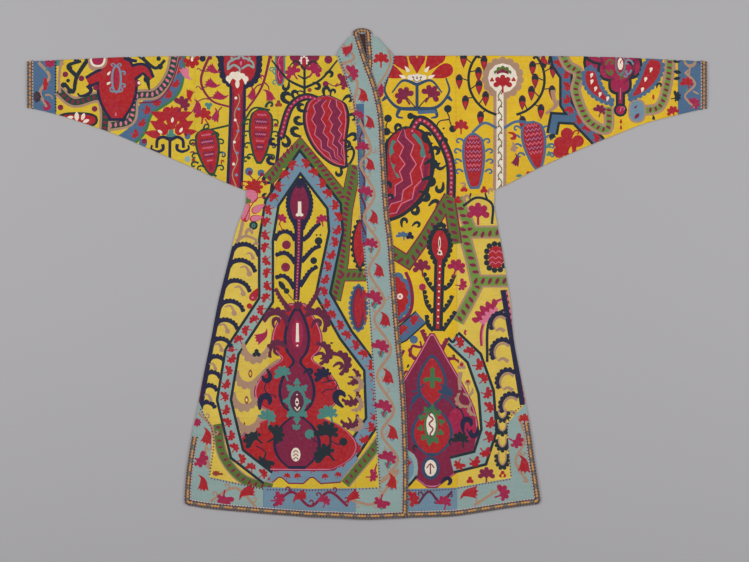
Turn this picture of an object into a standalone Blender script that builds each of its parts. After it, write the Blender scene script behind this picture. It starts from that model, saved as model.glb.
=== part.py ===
"""An Uzbek chapan laid out flat: a long open coat of embroidered cotton with wide tapering sleeves.

The coat lies on its back. Its back panels rest on the ground, the fronts lie over them, and the left
front (at -X) laps over the right front. The shoulders and sleeves are folds: one wall runs under,
turns through a half circle and comes back on top.
The plan is drawn in millimetres about the middle of the coat: X across, Y up towards the neck,
Z up off the ground. Every cloth piece is a wall of one thickness, parted from the next by a seam gap.
"""

import math

import bpy
import numpy as np

MM = 0.001

# ---- Driving dimensions, in millimetres ----
SPAN = 1728.0          # cuff to cuff
WALL = 2.2             # embroidered face, wadding and lining together
LAYER_GAP = 0.8        # air between the back and what lies on it
SEAM_GAP = 0.3
BRAID_GAP = 0.6         # wider, because braid and cloth turn the curves in different steps
BRAID_WIDTH = 16.0     # the woven braid bound along every open edge
BAND_TOP_Y = 602.0     # above this only the neckband's braid is left
BRAID_TOP_Y = 609.0    # the front braids end here, over the braid behind the neck
BRAID_RISE = 0.5       # how far the braid's middle stands above the cloth
CUFF_BAND = 58.0       # embroidered band above the cuff's braid
NECK_BACK_TOP_Y = 606.0
SHOULDER_Y = 554.0     # the fold along the shoulders and sleeve tops
SEAM_X = 226.0         # armhole seams, left and right of the middle
SLEEVE_JOIN_X = 437.0  # each sleeve is pieced here from two lengths of cloth
BAND_FOOT_Y = 377.0    # where the neckband tapers into the front edge
NECK_DIP = 13.0        # the back neckline's dip below the shoulder fold
NECK_SEAM_GAP = 2.2    # the curved neck seam, hidden under the neckband
BACK_INSET = 3.0       # the back hem lies this far inside the front hem
SLIT_TOP_Y = {-1: -415.0, 1: -380.0}     # the side seams are open below this
CELL = 42.0            # size of a wall's faces
CORNER_STEPS = 5       # points round a bound corner
FOLD_TURNS = 4         # faces round a fold
SEAM_SHARES = np.linspace(0, 1, 25)   # rows of the panels on both sides of a wedge seam
BAND_SHARES = np.linspace(0, 1, 9)    # rows of the panels on both sides of a neckband seam

FRONT_Z = WALL + LAYER_GAP                           # underside of the right front
LAP_RISE = WALL + BRAID_RISE + SEAM_GAP              # how much higher the left front lies where it laps
LAP_FAR, LAP_NEAR = 85.0, 43.0                       # the climb, measured back from the edge under it
LAP_TOP_Y, LAP_TOP_EASE = 600.0, 48.0                # the fronts part above the neck, so the climb ends
FOLD_MIDDLE_Z = FRONT_Z - LAYER_GAP / 2              # height of a fold's axis
FOLD_RADIUS = (LAYER_GAP + WALL) / 2                 # from that axis to the middle of the wall
FOLD_AXIS_Y = SHOULDER_Y - FOLD_RADIUS - WALL / 2

# Sides of the coat, armpit to slit corner:   y, left x, right x
SIDE_ROWS = (
    (210, -306, 324),
    (174, -309, 323),
    (123, -328, 331),
    (60, -345, 343),
    (9, -358, 351),
    (-67, -377, 363),
    (-169, -397, 373),
    (-271, -418, 392),
    (-347, -432, 406),
    (-397, -442, 415),
    (-461, -453, 424),
    (-512, -460, 432),
    (-590, -465, 443),
)
# Hem line, left corner to right corner:   x, y
HEM_ROWS = (
    (-470, -586),
    (-411, -596),
    (-345, -603),
    (-264, -610),
    (-168, -617),
    (-69, -621),
    (0, -624),
    (79, -621),
    (157, -619),
    (236, -615),
    (287, -607),
    (338, -599),
    (399, -590),
    (450, -584),
)
# Front edges, neck to hem. The right front's is hidden under the left below the neck:   y, left x, right x
FRONT_EDGE_ROWS = (
    (609, -20, -5),
    (580, -11, -3),
    (558, -4, -1),
    (540, 2, 0),
    (515, 11, -3),
    (491, 20, -10),
    (461, 29, -22),
    (415, 39, -36),
    (314, 46, -46),
    (222, 51, -51),
    (154, 56, -56),
    (85, 65, -65),
    (4, 71, -71),
    (-67, 76, -76),
    (-182, 86, -86),
    (-296, 97, -97),
    (-423, 103, -103),
    (-525, 105, -105),
    (-630, 103, -103),
)
# Outer edge of the neckband, top to foot:   y, left x, right x
NECKBAND_ROWS = (
    (618, -29, 9),
    (606, -40, 21),
    (593, -51, 32),
    (580, -61, 44),
    (567, -71, 57),
    (555, -77, 67),
    (540, -71, 66),
    (513, -59, 58),
    (485, -47, 46),
    (464, -41, 38),
    (440, -33, 28),
    (410, -17, 15),
    (377, -5, 5),
)
# Seam that joins each front to its wedge, neckband foot to hem (left; the right is mirrored):   y, x
WEDGE_SEAM_ROWS = (
    (377, -5),
    (80, -17),
    (-225, -27),
    (-640, -30),
)
# Seam between body and gore, armpit to hem:   y, left x, right x
GORE_SEAM_ROWS = (
    (187, -226, 226),
    (60, -230, 227),
    (-144, -243, 229),
    (-640, -266, 229),
)
# Sleeve sections, armhole to cuff, for both sleeves:   x, top y, left bottom y, right bottom y
SLEEVE_ROWS = (
    (226, 554, 187, 189),
    (324, 554, 217, 213),
    (437, 553, 267, 269),
    (551, 552, 316, 320),
    (627, 550, 349, 351),
    (704, 547, 377, 381),
    (787, 543, 404, 403),
    (864, 539, 423, 421),
)
# Soft folds in the upper layer:   x, y at one end, x, y at the other, half width, height
FOLD_ROWS = (
    (-300, 240, -150, 500, 58, 3.2),
    (-560, 380, -330, 500, 52, 2.4),
    (-345, 30, -250, 150, 46, 2.2),
    (-190, -520, -130, -40, 60, 3.0),
    (-330, -520, -300, -120, 55, 2.6),
    (-100, 120, -60, 420, 50, 2.4),
    (300, 240, 160, 500, 58, 3.2),
    (560, 385, 330, 505, 52, 2.4),
    (330, 20, 260, 150, 46, 2.2),
    (165, -520, 150, -60, 48, 3.0),
    (325, -520, 285, -100, 55, 2.8),
)


def remove_everything():
    for thing in list(bpy.data.objects):
        bpy.data.objects.remove(thing, do_unlink=True)


def curve(rows, column=1):
    """A smooth line through one column of a table, as a function of the table's first column."""
    rows = sorted(rows)
    at = np.array([row[0] for row in rows], float)
    value = np.array([row[column] for row in rows], float)
    slope = np.gradient(value, at)

    def read(place):
        place = np.clip(np.asarray(place, float), at[0], at[-1])
        i = np.clip(np.searchsorted(at, place) - 1, 0, len(at) - 2)
        span = at[i + 1] - at[i]
        t = (place - at[i]) / span
        start = (2 * t**3 - 3 * t**2 + 1) * value[i] + (t**3 - 2 * t**2 + t) * span * slope[i]
        end = (3 * t**2 - 2 * t**3) * value[i + 1] + (t**3 - t**2) * span * slope[i + 1]
        return start + end

    return read


side_left = curve(SIDE_ROWS, 1)
side_right = curve(SIDE_ROWS, 2)
hem_line = curve(HEM_ROWS)
front_edge = {-1: curve(FRONT_EDGE_ROWS, 1), 1: curve(FRONT_EDGE_ROWS, 2)}
band_left = curve(NECKBAND_ROWS, 1)
band_right = curve(NECKBAND_ROWS, 2)
wedge_seam = curve(WEDGE_SEAM_ROWS)
gore_left = curve(GORE_SEAM_ROWS, 1)
gore_right = curve(GORE_SEAM_ROWS, 2)
sleeve_top = curve(SLEEVE_ROWS, 1)
sleeve_bottom = {-1: curve(SLEEVE_ROWS, 2), 1: curve(SLEEVE_ROWS, 3)}


def beside(line, distance):
    """The line moved sideways by a distance measured square to it."""

    def read(place):
        slope = (line(place + 5) - line(place - 5)) / 10
        return line(place) + distance * np.sqrt(1 + slope**2)

    return read


bound_hem = beside(hem_line, BRAID_WIDTH + BRAID_GAP)
bound_front = {side: beside(front_edge[side], side * (BRAID_WIDTH + BRAID_GAP)) for side in (-1, 1)}


def smooth_step(value):
    value = np.clip(value, 0.0, 1.0)
    return value * value * (3.0 - 2.0 * value)


def soft_folds(x, y):
    """Height that the soft folds add to the upper layer, fading out at the shoulder fold."""
    total = np.zeros(np.broadcast(x, y).shape)
    for x0, y0, x1, y1, half_width, height in FOLD_ROWS:
        length_squared = (x1 - x0) ** 2 + (y1 - y0) ** 2
        along = np.clip(((x - x0) * (x1 - x0) + (y - y0) * (y1 - y0)) / length_squared, 0, 1)
        off = np.hypot(x - x0 - along * (x1 - x0), y - y0 - along * (y1 - y0)) / half_width
        total = total + height * (1 - smooth_step(off)) * np.sin(math.pi * np.clip(along, 0.12, 0.88))
    return total * smooth_step((SHOULDER_Y - y) / 60)


def right_front_z(x, y):
    """Underside of the right half's upper layer. It lies flat wherever the left front covers it."""
    return FRONT_Z + soft_folds(x, y) * smooth_step((x - front_edge[-1](y) - 15) / 40)


def left_front_z(x, y):
    """Underside of the left half's upper layer, which climbs on to the right front's hidden edge."""
    climb = smooth_step((x - front_edge[1](y) + LAP_FAR) / (LAP_FAR - LAP_NEAR))
    climb = climb * smooth_step((LAP_TOP_Y - y) / LAP_TOP_EASE)
    folds = soft_folds(x, y) * smooth_step((front_edge[-1](y) - x) / 40)
    return FRONT_Z + LAP_RISE * climb + folds


def ground(x, y):
    """Underside of whatever lies on the ground."""
    return np.zeros(np.broadcast(x, y).shape)


def steps(start, stop, size=CELL):
    """Even places from start to stop, about one cell apart."""
    return np.linspace(start, stop, max(2, math.ceil(abs(stop - start) / size) + 1))


def plan(left, right, bottom, top, columns, rows):
    """Grid of (x, y) between two side lines, given by y, and two end lines, given by x.

    Row 0 is the bottom line; rows holds the fractions of the way from bottom to top.
    """
    across = np.linspace(0.0, 1.0, columns + 1)

    def end_row(end_line):
        y = np.full(across.shape, float(np.mean(end_line(np.array([-1.0, 1.0])))))
        for _ in range(25):
            y = end_line(left(y) + across * (right(y) - left(y)))
        return y

    low, high = end_row(bottom), end_row(top)
    y = low + np.asarray(rows)[:, None] * (high - low)
    x = left(y) + across * (right(y) - left(y))
    return x, y


def crossing(side_line, end_line, start_y):
    """Where a side line meets an end line."""
    y = start_y
    for _ in range(25):
        x = float(side_line(y))
        y = float(end_line(x))
    return x, y


def wall_solid(name, under, over, colour, wrap=False):
    """Closed solid between two matching grids of points; wrap joins the last column to the first."""
    rows, columns, _ = under.shape
    count = rows * columns
    across, along = under[:-1, 1] - under[:-1, 0], under[1:, 0] - under[:-1, 0]
    outward = np.sum(np.cross(across, along) * (over - under)[:-1, 0])
    faces = []
    spans = columns if wrap else columns - 1
    for r in range(rows - 1):
        for c in range(spans):
            a, b = r * columns + c, r * columns + (c + 1) % columns
            corners = (a, b, b + columns, a + columns)
            faces.append([count + corner for corner in corners])
            faces.append(list(reversed(corners)))
    for c in range(spans):
        a, b = c, (c + 1) % columns
        faces.append([a, b, count + b, count + a])
        a, b = a + count - columns, b + count - columns
        faces.append([b, a, count + a, count + b])
    if not wrap:
        for r in range(rows - 1):
            a, b = r * columns, (r + 1) * columns
            faces.append([b, a, count + a, count + b])
            a, b = a + columns - 1, b + columns - 1
            faces.append([a, b, count + b, count + a])
    if outward < 0:
        faces = [list(reversed(face)) for face in faces]
    mesh = bpy.data.meshes.new(name)
    points = np.concatenate([under.reshape(-1, 3), over.reshape(-1, 3)]) * MM
    mesh.from_pydata(points.tolist(), [], faces)
    mesh.validate()
    mesh.shade_smooth()
    mesh.set_sharp_from_angle(angle=math.radians(35))
    piece = bpy.data.objects.new(name, mesh)
    bpy.context.collection.objects.link(piece)
    mesh.materials.append(cloth_material(name, colour))
    return piece


def cloth_material(name, colour):
    material = bpy.data.materials.new(name)
    material.use_nodes = True
    shader = material.node_tree.nodes["Principled BSDF"]
    shader.inputs["Base Color"].default_value = (*colour, 1.0)
    shader.inputs["Roughness"].default_value = 0.85
    shader.inputs["Metallic"].default_value = 0.0
    return material


YELLOW = (0.72, 0.50, 0.03)
CRIMSON = (0.45, 0.02, 0.04)
AQUA = (0.28, 0.45, 0.42)
STEEL_BLUE = (0.10, 0.22, 0.34)
BRAID_BROWN = (0.20, 0.10, 0.04)


def flat_panel(name, grid, underside, colour, thickness=WALL):
    """A wall of cloth over a plan grid, lying on the given underside."""
    x, y = grid
    z = underside(x, y)
    under = np.stack([x, y, z], axis=-1)
    over = np.stack([x, y, z + thickness], axis=-1)
    return wall_solid(name, under, over, colour)


# ---- Body: each side is one length of cloth, front hem over the shoulder to back hem ----
def body(side, colour):
    """Body panel of one side: -1 is the left with its front edge seam, 1 the right."""
    name = "body_left" if side < 0 else "body_right"
    gore = gore_left if side < 0 else gore_right
    band = band_left if side < 0 else band_right
    underside = left_front_z if side < 0 else right_front_z
    inset = side * SEAM_GAP / 2

    def outer(y):
        return gore(y) - inset

    def inner_front(y):
        wedge = -side * wedge_seam(y)
        return np.where(y > BAND_FOOT_Y, band(y), wedge) + inset

    def inner_back(y):
        neck = np.sqrt(np.clip((y - (FOLD_AXIS_Y - NECK_DIP)) / NECK_DIP, 0, 1))
        return band(SHOULDER_Y) * neck + inset

    def back_hem(x):
        return bound_hem(x) + BACK_INSET

    def fold(x):
        return np.full(np.shape(x), FOLD_AXIS_Y)

    def foot(x):
        return np.full(np.shape(x), BAND_FOOT_Y)

    columns = 6
    low_x, low_y = plan(outer, inner_front, bound_hem, foot, columns, SEAM_SHARES)
    high_x, high_y = plan(outer, inner_front, foot, fold, columns, BAND_SHARES)
    front_x, front_y = np.concatenate([low_x[:-1], high_x]), np.concatenate([low_y[:-1], high_y])
    neck_share = NECK_DIP / (FOLD_AXIS_Y - float(hem_line(0)))
    back_rows = np.concatenate([np.linspace(0, 1 - neck_share, 27)[:-1], np.linspace(1 - neck_share, 1, 5)])
    back_x, back_y = plan(outer, inner_back, back_hem, fold, columns, back_rows)
    front_z = underside(front_x, front_y) + WALL / 2
    back_z = np.full(back_x.shape, WALL / 2)

    middle, outward = [], []
    for x, y, z in zip(back_x, back_y, back_z):
        middle.append(np.stack([x, y, z], axis=-1))
        outward.append((0.0, 0.0, -1.0))
    x = front_x[-1]
    for turn in np.linspace(-math.pi / 2, math.pi / 2, FOLD_TURNS + 1)[1:-1]:
        out_y, out_z = math.cos(turn), math.sin(turn)
        y = np.full(x.shape, FOLD_AXIS_Y + FOLD_RADIUS * out_y)
        z = np.full(x.shape, FOLD_MIDDLE_Z + FOLD_RADIUS * out_z)
        middle.append(np.stack([x, y, z], axis=-1))
        outward.append((0.0, out_y, out_z))
    for x, y, z in zip(front_x[::-1], front_y[::-1], front_z[::-1]):
        middle.append(np.stack([x, y, z], axis=-1))
        outward.append((0.0, 0.0, 1.0))
    middle = np.array(middle)
    half = np.array(outward)[:, None, :] * WALL / 2
    inner_face, outer_face = middle - half, middle + half
    return wall_solid(name, inner_face, outer_face, colour)


# ---- Wedges: the narrow gore that widens each front towards the hem ----
def wedge(side, colour):
    name = "wedge_left" if side < 0 else "wedge_right"
    underside = left_front_z if side < 0 else right_front_z

    def seam(y):
        return -side * wedge_seam(y) - side * SEAM_GAP / 2

    edge = bound_front[side]

    def foot(x):
        return np.full(np.shape(x), BAND_FOOT_Y - SEAM_GAP / 2)

    left, right = (seam, edge) if side < 0 else (edge, seam)
    grid = plan(left, right, bound_hem, foot, 4, SEAM_SHARES)
    return flat_panel(name, grid, underside, colour)


# ---- Gores: the flared side panels, front and back ----
def gore(side, front, colour):
    name = ("gore_front_" if front else "gore_back_") + ("left" if side < 0 else "right")
    edge_line = side_left if side < 0 else side_right
    seam_line = gore_left if side < 0 else gore_right
    underside = ground
    if front:
        underside = left_front_z if side < 0 else right_front_z
    inset = 0.0 if front else BACK_INSET
    bound_side = beside(edge_line, -side * (BRAID_WIDTH + BRAID_GAP))

    def edge(y):
        return np.where(y < SLIT_TOP_Y[side], bound_side(y), edge_line(y)) - side * inset

    def seam(y):
        return seam_line(y) + side * SEAM_GAP / 2

    def hem(x):
        return bound_hem(x) + inset

    def armpit(x):
        return sleeve_bottom[side](np.abs(x)) - SEAM_GAP

    left, right = (edge, seam) if side < 0 else (seam, edge)
    low_y, high_y = crossing(edge, hem, -560.0)[1], crossing(edge, armpit, 180.0)[1]
    slit_share = (SLIT_TOP_Y[side] - low_y) / (high_y - low_y)
    step = SEAM_GAP / (high_y - low_y)
    rows = np.concatenate([np.linspace(0, slit_share - step, 6), np.linspace(slit_share + step, 1, 16)])
    grid = plan(left, right, hem, armpit, 5, rows)
    return flat_panel(name, grid, underside, colour)


# ---- Sleeves and cuffs: flattened tubes, folded along the top, seamed along the bottom ----
def sleeve_piece(name, side, near, far, colour, proud=0.0, cell=CELL):
    """One length of a sleeve, from x = near to x = far, counted from the middle of the coat."""
    lanes = 8
    sections_under, sections_over = [], []
    for x in steps(near, far, cell):
        top, bottom = float(sleeve_top(x)), float(sleeve_bottom[side](x))
        place = side * x
        radius = FOLD_RADIUS + WALL / 2
        centre_top, centre_bottom = top - radius, bottom + radius
        outline = []
        for k in range(lanes + 1):
            outline.append((centre_top + (centre_bottom - centre_top) * k / lanes, 0.0, 1.0))
        for k in range(1, FOLD_TURNS):
            turn = math.pi * k / FOLD_TURNS
            outline.append((centre_bottom, -math.sin(turn), math.cos(turn)))
        for k in range(lanes + 1):
            outline.append((centre_bottom + (centre_top - centre_bottom) * k / lanes, 0.0, -1.0))
        for k in range(1, FOLD_TURNS):
            turn = math.pi * k / FOLD_TURNS
            outline.append((centre_top, math.sin(turn), -math.cos(turn)))
        inner_row, outer_row = [], []
        for y, out_y, out_z in outline:
            lift = 0.0
            if out_z > 0:
                edge_fade = min((top - y) / 60, (y - bottom) / 60, 1.0)
                lift = float(soft_folds(place, y)) * float(smooth_step(edge_fade)) * out_z
            for row, reach in ((inner_row, FOLD_RADIUS - WALL / 2), (outer_row, radius)):
                z = FOLD_MIDDLE_Z + reach * out_z + lift
                extra = proud * out_z if reach == radius and out_z > 0 else 0.0
                row.append((place, y + reach * out_y, z + extra))
        sections_under.append(inner_row)
        sections_over.append(outer_row)
    return wall_solid(name, np.array(sections_under), np.array(sections_over), colour, wrap=True)


def sleeve(side, body_colour, cuff_colour, braid_colour):
    word = "left" if side < 0 else "right"
    half_gap = SEAM_GAP / 2
    cuff_end = SPAN / 2
    braid_start = cuff_end - BRAID_WIDTH
    cuff_start = braid_start - CUFF_BAND
    sleeve_piece("sleeve_upper_" + word, side, SEAM_X + half_gap, SLEEVE_JOIN_X - half_gap, body_colour)
    sleeve_piece("sleeve_lower_" + word, side, SLEEVE_JOIN_X + half_gap, cuff_start - half_gap, body_colour)
    sleeve_piece("cuff_" + word, side, cuff_start + half_gap, braid_start - half_gap, cuff_colour)
    sleeve_piece("cuff_braid_" + word, side, braid_start + half_gap, cuff_end, braid_colour, proud=BRAID_RISE)


# ---- Neckband: a strip round the back of the neck that runs down on to both fronts ----
def neckband(side, colour):
    name = "neckband_left" if side < 0 else "neckband_right"
    outer_line = band_left if side < 0 else band_right
    underside = left_front_z if side < 0 else right_front_z

    def outer(y):
        return outer_line(y) - side * SEAM_GAP / 2

    edge = bound_front[side]

    def foot(x):
        return np.full(np.shape(x), BAND_FOOT_Y + SEAM_GAP / 2)

    def top(x):
        return np.full(np.shape(x), BAND_TOP_Y)

    left, right = (outer, edge) if side < 0 else (edge, outer)
    beside_body = (FOLD_AXIS_Y - BAND_FOOT_Y) / (BAND_TOP_Y - BAND_FOOT_Y)
    rows = np.concatenate([BAND_SHARES * beside_body, np.linspace(beside_body, 1, 5)[1:]])
    grid = plan(left, right, foot, top, 3, rows)
    return flat_panel(name, grid, underside, colour)


def neckband_back(colour):
    """The part behind the neck, whose lining shows between the fronts."""

    def left(y):
        return band_left(np.maximum(y, SHOULDER_Y + 2)) + NECK_SEAM_GAP

    def right(y):
        return band_right(np.maximum(y, SHOULDER_Y + 2)) - NECK_SEAM_GAP

    def bottom(x):
        share = np.clip(x / np.where(x < 0, band_left(SHOULDER_Y), band_right(SHOULDER_Y)), -1, 1)
        return FOLD_AXIS_Y - NECK_DIP * (1 - share**2) + NECK_SEAM_GAP

    def top(x):
        return np.full(np.shape(x), NECK_BACK_TOP_Y)

    grid = plan(left, right, bottom, top, 5, np.linspace(0, 1, 5))
    return flat_panel("neckband_back", grid, ground, colour)


# ---- Braids: the bound edges. Each is one strip along a path, proud of the cloth in its middle ----
def corner_rounded(path, corner_at, radius):
    """The path with an arc of CORNER_STEPS points in place of each named corner."""
    points = []
    for i, point in enumerate(path):
        if i not in corner_at:
            points.append(point)
            continue
        before = point - path[i - 1]
        after = path[i + 1] - point
        before = before / np.linalg.norm(before)
        after = after / np.linalg.norm(after)
        half_turn = math.acos(float(np.clip(before @ after, -1, 1))) / 2
        back = radius * math.tan(half_turn)
        start, end = point - before * back, point + after * back
        for k in range(CORNER_STEPS):
            t = k / (CORNER_STEPS - 1)
            points.append((1 - t) ** 2 * start + 2 * t * (1 - t) * point + t**2 * end)
    return np.array(points)


def moved(path, distance):
    """The path moved to its right by the distance, with mitred corners."""
    before = np.diff(path, axis=0, prepend=path[:1] - (path[1:2] - path[:1]))
    after = np.diff(path, axis=0, append=path[-1:] + (path[-1:] - path[-2:-1]))
    normals = []
    for line in (before, after):
        line = line / np.linalg.norm(line, axis=1, keepdims=True)
        normals.append(np.stack([line[:, 1], -line[:, 0]], axis=-1))
    mitre = normals[0] + normals[1]
    mitre = mitre / np.linalg.norm(mitre, axis=1, keepdims=True)
    return path + mitre * (distance / np.sum(mitre * normals[0], axis=1, keepdims=True))


def braid(name, path, corners, underside, colour, side):
    """A braid whose outer edge follows the path; the cloth is on the path's left where side is -1."""
    outer = corner_rounded(path, corners, 13.0)
    inner = corner_rounded(moved(path, side * BRAID_WIDTH), corners, 2.0)
    return strip(name, outer, inner, underside, colour)


def strip(name, outer, inner, underside, colour):
    """A flat strip between two matching lines, a little thicker along its middle."""
    across = (0.0, 0.33, 0.67, 1.0)
    rise = (0.0, BRAID_RISE, BRAID_RISE, 0.0)
    under, over = [], []
    for share, proud in zip(across, rise):
        line = outer + share * (inner - outer)
        z = underside(line[:, 0], line[:, 1])
        under.append(np.column_stack([line, z]))
        over.append(np.column_stack([line, z + WALL + proud]))
    under, over = np.stack(under, axis=1), np.stack(over, axis=1)
    return wall_solid(name, under, over, colour)


def edge_points(line, places, by_y=True):
    """Points along a side line read by y, or an end line read by x."""
    values = line(places)
    return np.column_stack([values, places] if by_y else [places, values])


def front_braid(side, colour):
    """Slit, hem and front edge of one front, up to the top of the neck."""
    side_line = side_left if side < 0 else side_right
    underside = left_front_z if side < 0 else right_front_z

    front = front_edge[side]
    corner_x, corner_y = crossing(side_line, hem_line, -590.0)
    front_x, front_y = crossing(front, hem_line, -620.0)
    slit = edge_points(side_line, steps(SLIT_TOP_Y[side], corner_y))
    hem = edge_points(hem_line, steps(corner_x, front_x), by_y=False)
    edge = edge_points(front, steps(front_y, BRAID_TOP_Y, CELL * 0.8))
    path = np.concatenate([slit, hem[1:], edge[1:]])
    corners = (len(slit) - 1, len(slit) + len(hem) - 2)
    name = "braid_left" if side < 0 else "braid_right"
    return braid(name, path, corners, underside, colour, side)


def back_braid(colour):
    """Both back slits and the back hem, in one run."""

    def left(y):
        return side_left(y) + BACK_INSET

    def right(y):
        return side_right(y) - BACK_INSET

    def hem(x):
        return hem_line(x) + BACK_INSET

    left_x, left_y = crossing(left, hem, -590.0)
    right_x, right_y = crossing(right, hem, -590.0)
    first = edge_points(left, steps(SLIT_TOP_Y[-1], left_y))
    middle = edge_points(hem, steps(left_x, right_x), by_y=False)
    last = edge_points(right, steps(right_y, SLIT_TOP_Y[1]))
    path = np.concatenate([first, middle[1:], last[1:]])
    corners = (len(first) - 1, len(first) + len(middle) - 2)
    return braid("braid_back", path, corners, ground, colour, -1)


def neck_braid(colour):
    """The braid behind the neck: an arch from the top of the left front's braid to the right's."""
    half_span, rise, inner_rise, segments, left_slant = 24.0, 12.95, 1.5, 12, 0.33
    turns = np.linspace(math.pi + left_slant, 0, segments + 1)
    middle_x = float(front_edge[-1](BRAID_TOP_Y) + front_edge[1](BRAID_TOP_Y)) / 2
    foot_y = BRAID_TOP_Y + 3 * BRAID_GAP

    def arch(span, height):
        return np.column_stack([middle_x + span * np.cos(turns), foot_y + height * np.sin(turns)])

    outer, inner = arch(half_span, rise), arch(half_span - BRAID_WIDTH, inner_rise)
    return strip("braid_neck", outer, inner, right_front_z, colour)


# ---- Cuff knot: a small gathered tuft of cloth sewn to the left cuff ----
def cuff_knot(colour):
    middle_x, middle_y, base_z = -838.0, 449.0, FRONT_Z + WALL + SEAM_GAP
    length, width, height, folds = 27.0, 18.0, 6.0, 7
    rings, sides = 5, 28
    under, over = [], []
    for r in range(rings):
        share = 1.0 - 0.8 * r / (rings - 1)
        ring_under, ring_over = [], []
        for s in range(sides):
            turn = 2 * math.pi * s / sides
            pleat = 1 + 0.09 * math.cos(folds * turn) * share
            x = middle_x + width / 2 * share * pleat * math.cos(turn)
            y = middle_y + length / 2 * share * pleat * math.sin(turn)
            dome = height * math.sqrt(max(0.0, 1 - share**2)) * (0.8 + 0.2 * pleat)
            ring_under.append((x, y, base_z))
            ring_over.append((x, y, base_z + 0.8 + dome))
        under.append(ring_under)
        over.append(ring_over)
    return wall_solid("cuff_knot_left", np.array(under), np.array(over), colour, wrap=True)


remove_everything()
for half in (-1, 1):
    body(half, YELLOW)
    wedge(half, AQUA)
    gore(half, True, YELLOW)
    gore(half, False, YELLOW)
    sleeve(half, CRIMSON, STEEL_BLUE, BRAID_BROWN)
    neckband(half, AQUA)
    front_braid(half, BRAID_BROWN)
neckband_back(AQUA)
back_braid(BRAID_BROWN)
neck_braid(BRAID_BROWN)
cuff_knot(BRAID_BROWN)
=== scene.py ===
"""An Uzbek chapan laid out flat: its panels in counted silk cross-stitch, bound with woven braid.

Shapes are drawn in millimetres about the middle of the coat: X across, Y up towards the neck.
The embroidery is drawn on a chart, as the stitchers draw it. Chart squares are SQUARE millimetres,
two cross-stitches across, counted from the chart's top left corner.
"""

import math

import bpy
import numpy as np
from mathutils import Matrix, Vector
from mathutils.geometry import delaunay_2d_cdt


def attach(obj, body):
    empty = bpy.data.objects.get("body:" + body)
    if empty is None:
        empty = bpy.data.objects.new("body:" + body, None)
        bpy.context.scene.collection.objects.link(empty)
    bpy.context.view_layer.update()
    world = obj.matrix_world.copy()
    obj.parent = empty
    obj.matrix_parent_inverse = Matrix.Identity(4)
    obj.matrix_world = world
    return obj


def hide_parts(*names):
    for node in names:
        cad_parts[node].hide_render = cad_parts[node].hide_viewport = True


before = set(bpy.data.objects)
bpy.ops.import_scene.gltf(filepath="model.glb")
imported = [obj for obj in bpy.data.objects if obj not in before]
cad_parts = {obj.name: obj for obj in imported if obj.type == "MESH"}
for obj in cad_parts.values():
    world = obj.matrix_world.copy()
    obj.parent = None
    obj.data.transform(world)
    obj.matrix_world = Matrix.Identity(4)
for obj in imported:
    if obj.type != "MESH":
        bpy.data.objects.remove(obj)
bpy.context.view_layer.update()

# ---- Silks and stitch ----
# The whole face is worked in twisted silk, in counted cross-stitch on a cotton cloth.
# The stitchers draw the design on a chart and fill each outline with one silk, ground first.
MM = 0.001
SQUARE = 2.54                     # one square of the chart, two cross-stitches across, in mm
CHART_MIDDLE = (367.0, 273.5)     # the chart square at the middle of the coat

# Silks, by the colour each shows in even light (0 to 255):   red, green, blue
SILKS = {
    "yellow": (222, 188, 38),
    # Right half's ground: the yellow silk again, painted more golden and saturated for how the light falls on
    # that half
    "gold_painted_light": (230, 186, 16),
    "straw": (226, 194, 74),
    "crimson": (176, 16, 30),
    "maroon": (130, 18, 62),
    "plum": (98, 26, 62),
    "navy": (24, 26, 62),
    "ink": (22, 38, 48),
    "steel": (72, 106, 140),
    "storm": (42, 70, 102),
    "sky": (112, 144, 164),
    "aqua": (148, 172, 168),
    "olive": (86, 114, 42),
    "moss": (112, 146, 58),
    "leaf": (58, 118, 70),
    "teal": (72, 134, 126),
    "fern": (24, 66, 50),
    "tan": (176, 138, 112),
    "pink": (218, 116, 146),
    "rose": (166, 18, 72),
    "cream": (242, 228, 208),
    "rust": (150, 56, 36),
    "lining": (66, 34, 30),
}


def dyed(name):
    """A silk's colour as linear light."""
    share = np.array(SILKS[name]) / 255
    light = np.where(share <= 0.04045, share / 12.92, ((share + 0.055) / 1.055) ** 2.4)
    return (*light, 1.0)


# Everything stitched on each side of the coat, in the order it is worked: (silk, outline in mm)
stitched = {-1: [], 1: []}


def sew(side, silk, points):
    """Fills an outline, given in chart squares, with one silk."""
    points = np.asarray(points, float)
    stitched[side].append((silk, (points - CHART_MIDDLE) * (SQUARE, -SQUARE)))


def flowing(points, closed=False, step=2.0):
    """A smooth line through a few places on the chart."""
    points = np.asarray(points, float)
    if len(points) < 3 and not closed:
        count = max(2, int(np.linalg.norm((points[-1] - points[0])[:2]) / step) + 1)
        return points[0] + np.linspace(0, 1, count)[:, None] * (points[-1] - points[0])
    if closed:
        padded = np.concatenate([points[-1:], points, points[:2]])
    else:
        padded = np.concatenate([2 * points[:1] - points[1:2], points, 2 * points[-1:] - points[-2:-1]])
    line = []
    for a, b, c, d in zip(padded, padded[1:], padded[2:], padded[3:]):
        count = max(2, int(np.linalg.norm((c - b)[:2]) / step) + 1)
        t = np.linspace(0, 1, count, endpoint=False)[:, None]
        line.append(
            0.5 * (2 * b + (c - a) * t + (2 * a - 5 * b + 4 * c - d) * t**2 + (3 * b - a - 3 * c + d) * t**3)
        )
    if not closed:
        line.append(points[-1:])
    return np.concatenate(line)


def sideways(line, closed=False):
    """Unit vectors square to a line, on its right as it is drawn."""
    if closed:
        way = np.roll(line, -1, axis=0) - np.roll(line, 1, axis=0)
    else:
        way = np.gradient(line, axis=0)
    way = way / np.maximum(np.hypot(*way.T), 1e-9)[:, None]
    return np.column_stack([-way[:, 1], way[:, 0]])


def run_along(line):
    """How far along a line each of its points lies."""
    return np.concatenate([[0], np.cumsum(np.hypot(*np.diff(line, axis=0).T))])


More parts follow.
